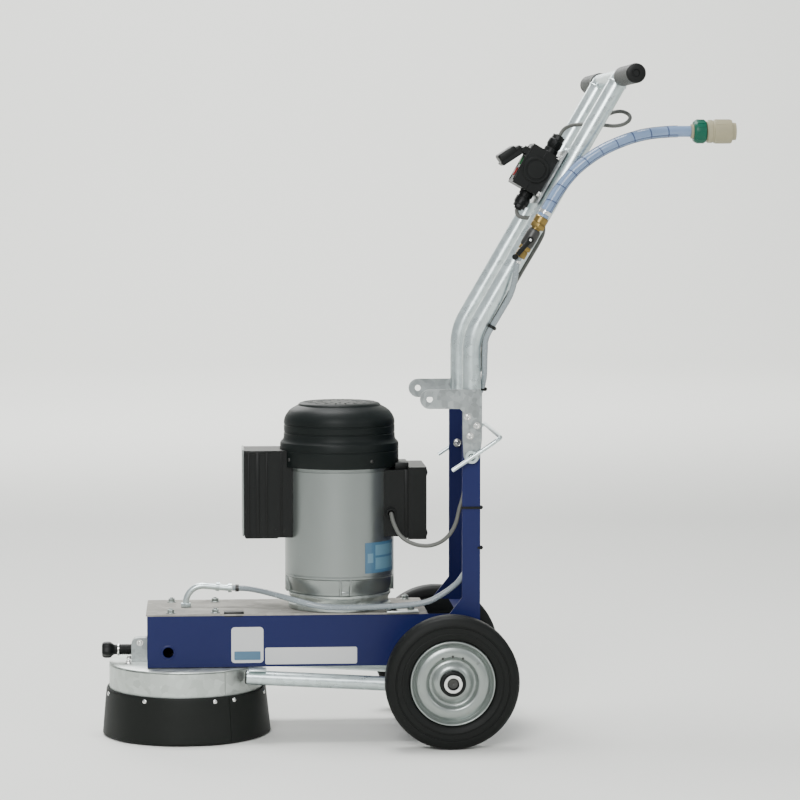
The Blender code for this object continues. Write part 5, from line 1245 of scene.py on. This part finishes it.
leverScrew = copies("lever_screw", domeHead(0.0026, 0.0012),
    [facing(onHandle(valve["lever"], 0, valve["y"] - 0.0148), (0, -1, 0))])
showAs(leverScrew, "lever", "brightSteel", "steel")

elbow = {"radius": 0.0055, "bend": 0.03, "foot": 0.186, "crest": 0.256}
elbowLine = [at(head["x"], 0, elbow["foot"]), at(head["x"], 0, elbow["crest"] - elbow["bend"])]
for i in range(1, 13):
    a = math.radians(100 * i / 12)
    elbowLine.append(at(head["x"] + elbow["bend"] * (1 - math.cos(a)), 0,
        elbow["crest"] - elbow["bend"] + elbow["bend"] * math.sin(a)))
elbowLine += [at(-0.379, 0, 0.25205), at(-0.37, 0, 0.252)]
elbowPipe = pipe("elbow_pipe", elbowLine, elbow["radius"], detail=7)
rings = [settle(turned("ring", [(0.0056, 0), (0.0082, 0.0002), (0.0082, 0.0066), (0.0056, 0.007)],
    sides=32), facing(at(x, 0, z), (1, 0, dz))) for x, z, dz in ((-0.377, 0.252, 0.0),
    (-0.398, 0.2548, -0.1))]
gland = hexNut("gland", 0.0098, 0.2192, 0.2262)
settle(gland, Matrix.Translation(at(head["x"], 0, 0)))
elbowPiece = joined("elbow_pipe", [elbowPipe] + rings + [gland])
showAs(elbowPiece, "frame", "zincTube", "galvanised", "water_elbow")
endClip = settle(turned("end_clip", [(0.0052, 0), (0.0064, 0.0002), (0.0064, 0.006), (0.0052, 0.0062)],
    sides=32), facing(at(-0.364, 0, 0.2514), (1, 0, -0.02)))
showAs(endClip, "frame", "darkSteel", "steel")
print("water fittings made")


# cable ties
def leftTurn(a, b, c):
    return (b[0] - a[0]) * (c[1] - a[1]) - (b[1] - a[1]) * (c[0] - a[0])


def hull(circles, steps=20):
    # the outline of a band pulled tight round some circles
    points = sorted({(round(u + r * math.cos(math.tau * i / steps), 6),
        round(v + r * math.sin(math.tau * i / steps), 6)) for u, v, r in circles for i in range(steps)})

    def halfOf(run):
        kept = []
        for p in run:
            while len(kept) > 1 and leftTurn(kept[-2], kept[-1], p) <= 0:
                kept.pop()
            kept.append(p)
        return kept

    return halfOf(points)[:-1] + halfOf(points[::-1])[:-1]


def tieBand(circles, headAt, width=0.004, thick=0.0011):
    outline = hull(circles)
    deselect()
    bpy.ops.mesh.primitive_circle_add(vertices=len(outline), radius=0.01)
    band = bpy.context.object
    for corner, (u, v) in zip(band.data.vertices, outline):
        corner.co = (u, v, -width / 2)
    bpy.ops.object.mode_set(mode="EDIT")
    bpy.ops.mesh.select_all(action="SELECT")
    bpy.ops.mesh.extrude_region_move(TRANSFORM_OT_translate={"value": (0, 0, width)})
    bpy.ops.object.mode_set(mode="OBJECT")
    tidyMesh(band)
    applyModifier(band, "SOLIDIFY", thickness=thick, offset=1)
    tidyMesh(band)
    smooth(band, 40)
    u, v, turn = headAt
    lump = block("lump", (-0.0034, -0.0024, -0.0032), (0.0034, 0.0028, 0.0032), 0.0008)
    stub = block("stub", (-0.0007, 0.0024, -0.0018), (0.0007, 0.0042, 0.0018), 0.0003)
    lump = settle(joined("lump", [lump, stub]), Matrix.Translation((u, v, 0)) @ turnBy(turn))
    return joined("tie", [band, lump])


tubeY = -handle["y"]
bundle = [(0.0218, -0.007, 0.0052), (0.02, 0.008, 0.0037)]
tieUpper = settle(tieBand(bundle, (0.0262, -0.001, -88), 0.0056, 0.0013),
    handlePlace @ Matrix.Translation((0, tubeY, 0.031)))
tieFoot = settle(tieBand([(0.0575, -0.101, 0.0053), (0.037, -0.0985, 0.0038)], (0.0625, -0.102, -85)),
    Matrix.Translation((axleX, 0, 0.6045)))
tiePlug = settle(tieBand([(0, 0, 0.0163), (0.0035, 0.0405, 0.0142)], (-0.016, 0.02, 90), 0.003, 0.0009),
    handlePlace @ Matrix.Translation((0, tubeY, 0.356)))
showAs(joined("handle_ties", [tieUpper, tieFoot]), "handle", "blackPlastic", "black_plastic")
tiePlug.name = "plug_clip"
showAs(tiePlug, "handle", "zincTube", "steel")
columnCorners = [(0.0212, -0.1366, 0.0004), (0.0212, -0.1335, 0.0004), (0.0523, -0.1366, 0.0004),
    (0.0523, -0.11, 0.0004), (0.0405, -0.106, 0.0054)]
columnTie = settle(tieBand(columnCorners, (0.053, -0.13, -90)), Matrix.Translation((axleX, 0, 0.4045)))
lowerCorners = [(0.0523, -0.1366, 0.0004), (0.049, -0.1366, 0.0004), (0.0523, -0.11, 0.0004),
    (0.0405, -0.106, 0.0054)]
lowerTie = settle(tieBand(lowerCorners, (0.053, -0.1325, -90)), Matrix.Translation((axleX, 0, 0.3358)))
showAs(joined("column_ties", [columnTie, lowerTie]), "frame", "blackPlastic", "black_plastic")
print("ties made")


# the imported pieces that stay, with their finishes and edge rounding
kept = {"bluePaint": (("chassis_tray", 0.0009), ("column", 0.0007)), "zincDeck": (("deck_plate", 0.0007),),
    "zincPlate": (("knob_bracket", 0.0008), ("handle_plate_near", 0.0007), ("handle_plate_far", 0.0007),
    ("switch_bracket", 0.0006)), "blackPlastic": (("capacitor_box", 0.0016), ("terminal_box", 0.0014),
    ("terminal_lid", 0.002), ("switch_box", 0.0018), ("switch_flap", 0.0007), ("cooling_fan", 0)),
    "castIron": (("spindle_housing", 0.0006), ("spindle_pulley", 0), ("motor_pulley", 0)),
    "brightSteel": (("spindle_shaft", 0), ("grinding_disc", 0.0006), ("motor_rotor", 0),
    ("spindle_bearing_low", 0), ("spindle_bearing_high", 0), ("motor_bearing_low", 0),
    ("motor_bearing_high", 0), ("capacitors", 0)), "tyreRubber": (("drive_belt", 0),),
    "copper": (("motor_stator", 0),), "startGreen": (("start_button", 0.0004),),
    "stopRed": (("stop_button", 0.0004),),}
for finish, members in kept.items():
    for nodeName, edge in members:
        piece = cadNodes[nodeName]
        piece.data.materials.clear()
        piece.data.materials.append(finishes[finish])
        for face in piece.data.polygons:
            face.material_index = 0
        if edge:
            rounding = piece.modifiers.new("edges", "BEVEL")
            rounding.width = edge
            rounding.segments = 2
            rounding.limit_method = "ANGLE"
            rounding.angle_limit = math.radians(40)
        smooth(piece, 32)
print("kept nodes finished")


# floor, backdrop and light
stageSet = {"width": 44.0, "front": -16.0, "back": 15.0, "height": 16.0, "bend": 5.0, "colour": (0.765,
    0.77, 0.728)}
deselect()
depth = stageSet["back"] - stageSet["front"]
bpy.ops.mesh.primitive_plane_add(size=1, location=(0, stageSet["front"] + depth / 2, 0),
    scale=(stageSet["width"], depth, 1))
floor = bpy.context.object
floor.name = "floor"
floor.scale = (stageSet["width"], depth, 1)
bpy.ops.object.transform_apply(location=True, rotation=True, scale=True)
bpy.ops.object.mode_set(mode="EDIT")
bpy.ops.mesh.select_mode(type="EDGE")
bpy.ops.mesh.select_all(action="DESELECT")
bpy.ops.object.mode_set(mode="OBJECT")
for edge in floor.data.edges:
    edge.select = all(floor.data.vertices[i].co.y > stageSet["back"] - 0.01 for i in edge.vertices)
bpy.ops.object.mode_set(mode="EDIT")
bpy.ops.mesh.extrude_region_move(TRANSFORM_OT_translate={"value": (0, 0, stageSet["height"])})
bpy.ops.object.mode_set(mode="OBJECT")
soften(floor, stageSet["bend"], 24, 40)
smooth(floor, 60)
floorFinish = bpy.data.materials.new("stageGrey")
floorFinish.use_nodes = True
floorShader = floorFinish.node_tree.nodes["Principled BSDF"]
tone = effect(floorFinish.node_tree, "tone", Colour=(*stageSet["colour"], 1), Amount=0.012,
    Size=0.8)["Colour"]
floorFinish.node_tree.links.new(tone, floorShader.inputs["Base Color"])
floorShader.inputs["Roughness"].default_value = 0.75
floorShader.inputs["Specular IOR Level"].default_value = 0.25
floor.data.materials.append(floorFinish)

lamps = {"key": ((-1.2, -5.4, 3.3), 2.4, 300), "fill": ((3.6, -3.2, 2.4), 2.4, 45),
    "top": ((-0.5, 0.6, 4.0), 1.8, 175), "rear": ((-1.5, 5.5, 4.0), 3.0, 170), "wash": ((0.0, 6.0, 7.0),
    6.0, 1650)}
for lampName, (place, size, power) in lamps.items():
    target = Vector((0, 14.5, 3.5)) if lampName == "wash" else Vector((0, 0, 0.4))
    aim = (target - Vector(place)).to_track_quat("-Z", "Y").to_euler()
    bpy.ops.object.light_add(type="AREA", location=place, rotation=aim)
    lamp = bpy.context.object
    lamp.name = lampName
    lamp.data.shape = "DISK"
    lamp.data.size = size
    lamp.data.energy = power
sky = {"colour": (0.93, 0.96, 1.0, 1), "strength": 0.62}
world = bpy.context.scene.world or bpy.data.worlds.new("studio")
bpy.context.scene.world = world
world.use_nodes = True
backing = world.node_tree.nodes["Background"]
backing.inputs["Color"].default_value = sky["colour"]
backing.inputs["Strength"].default_value = sky["strength"]
print("stage and lights set")
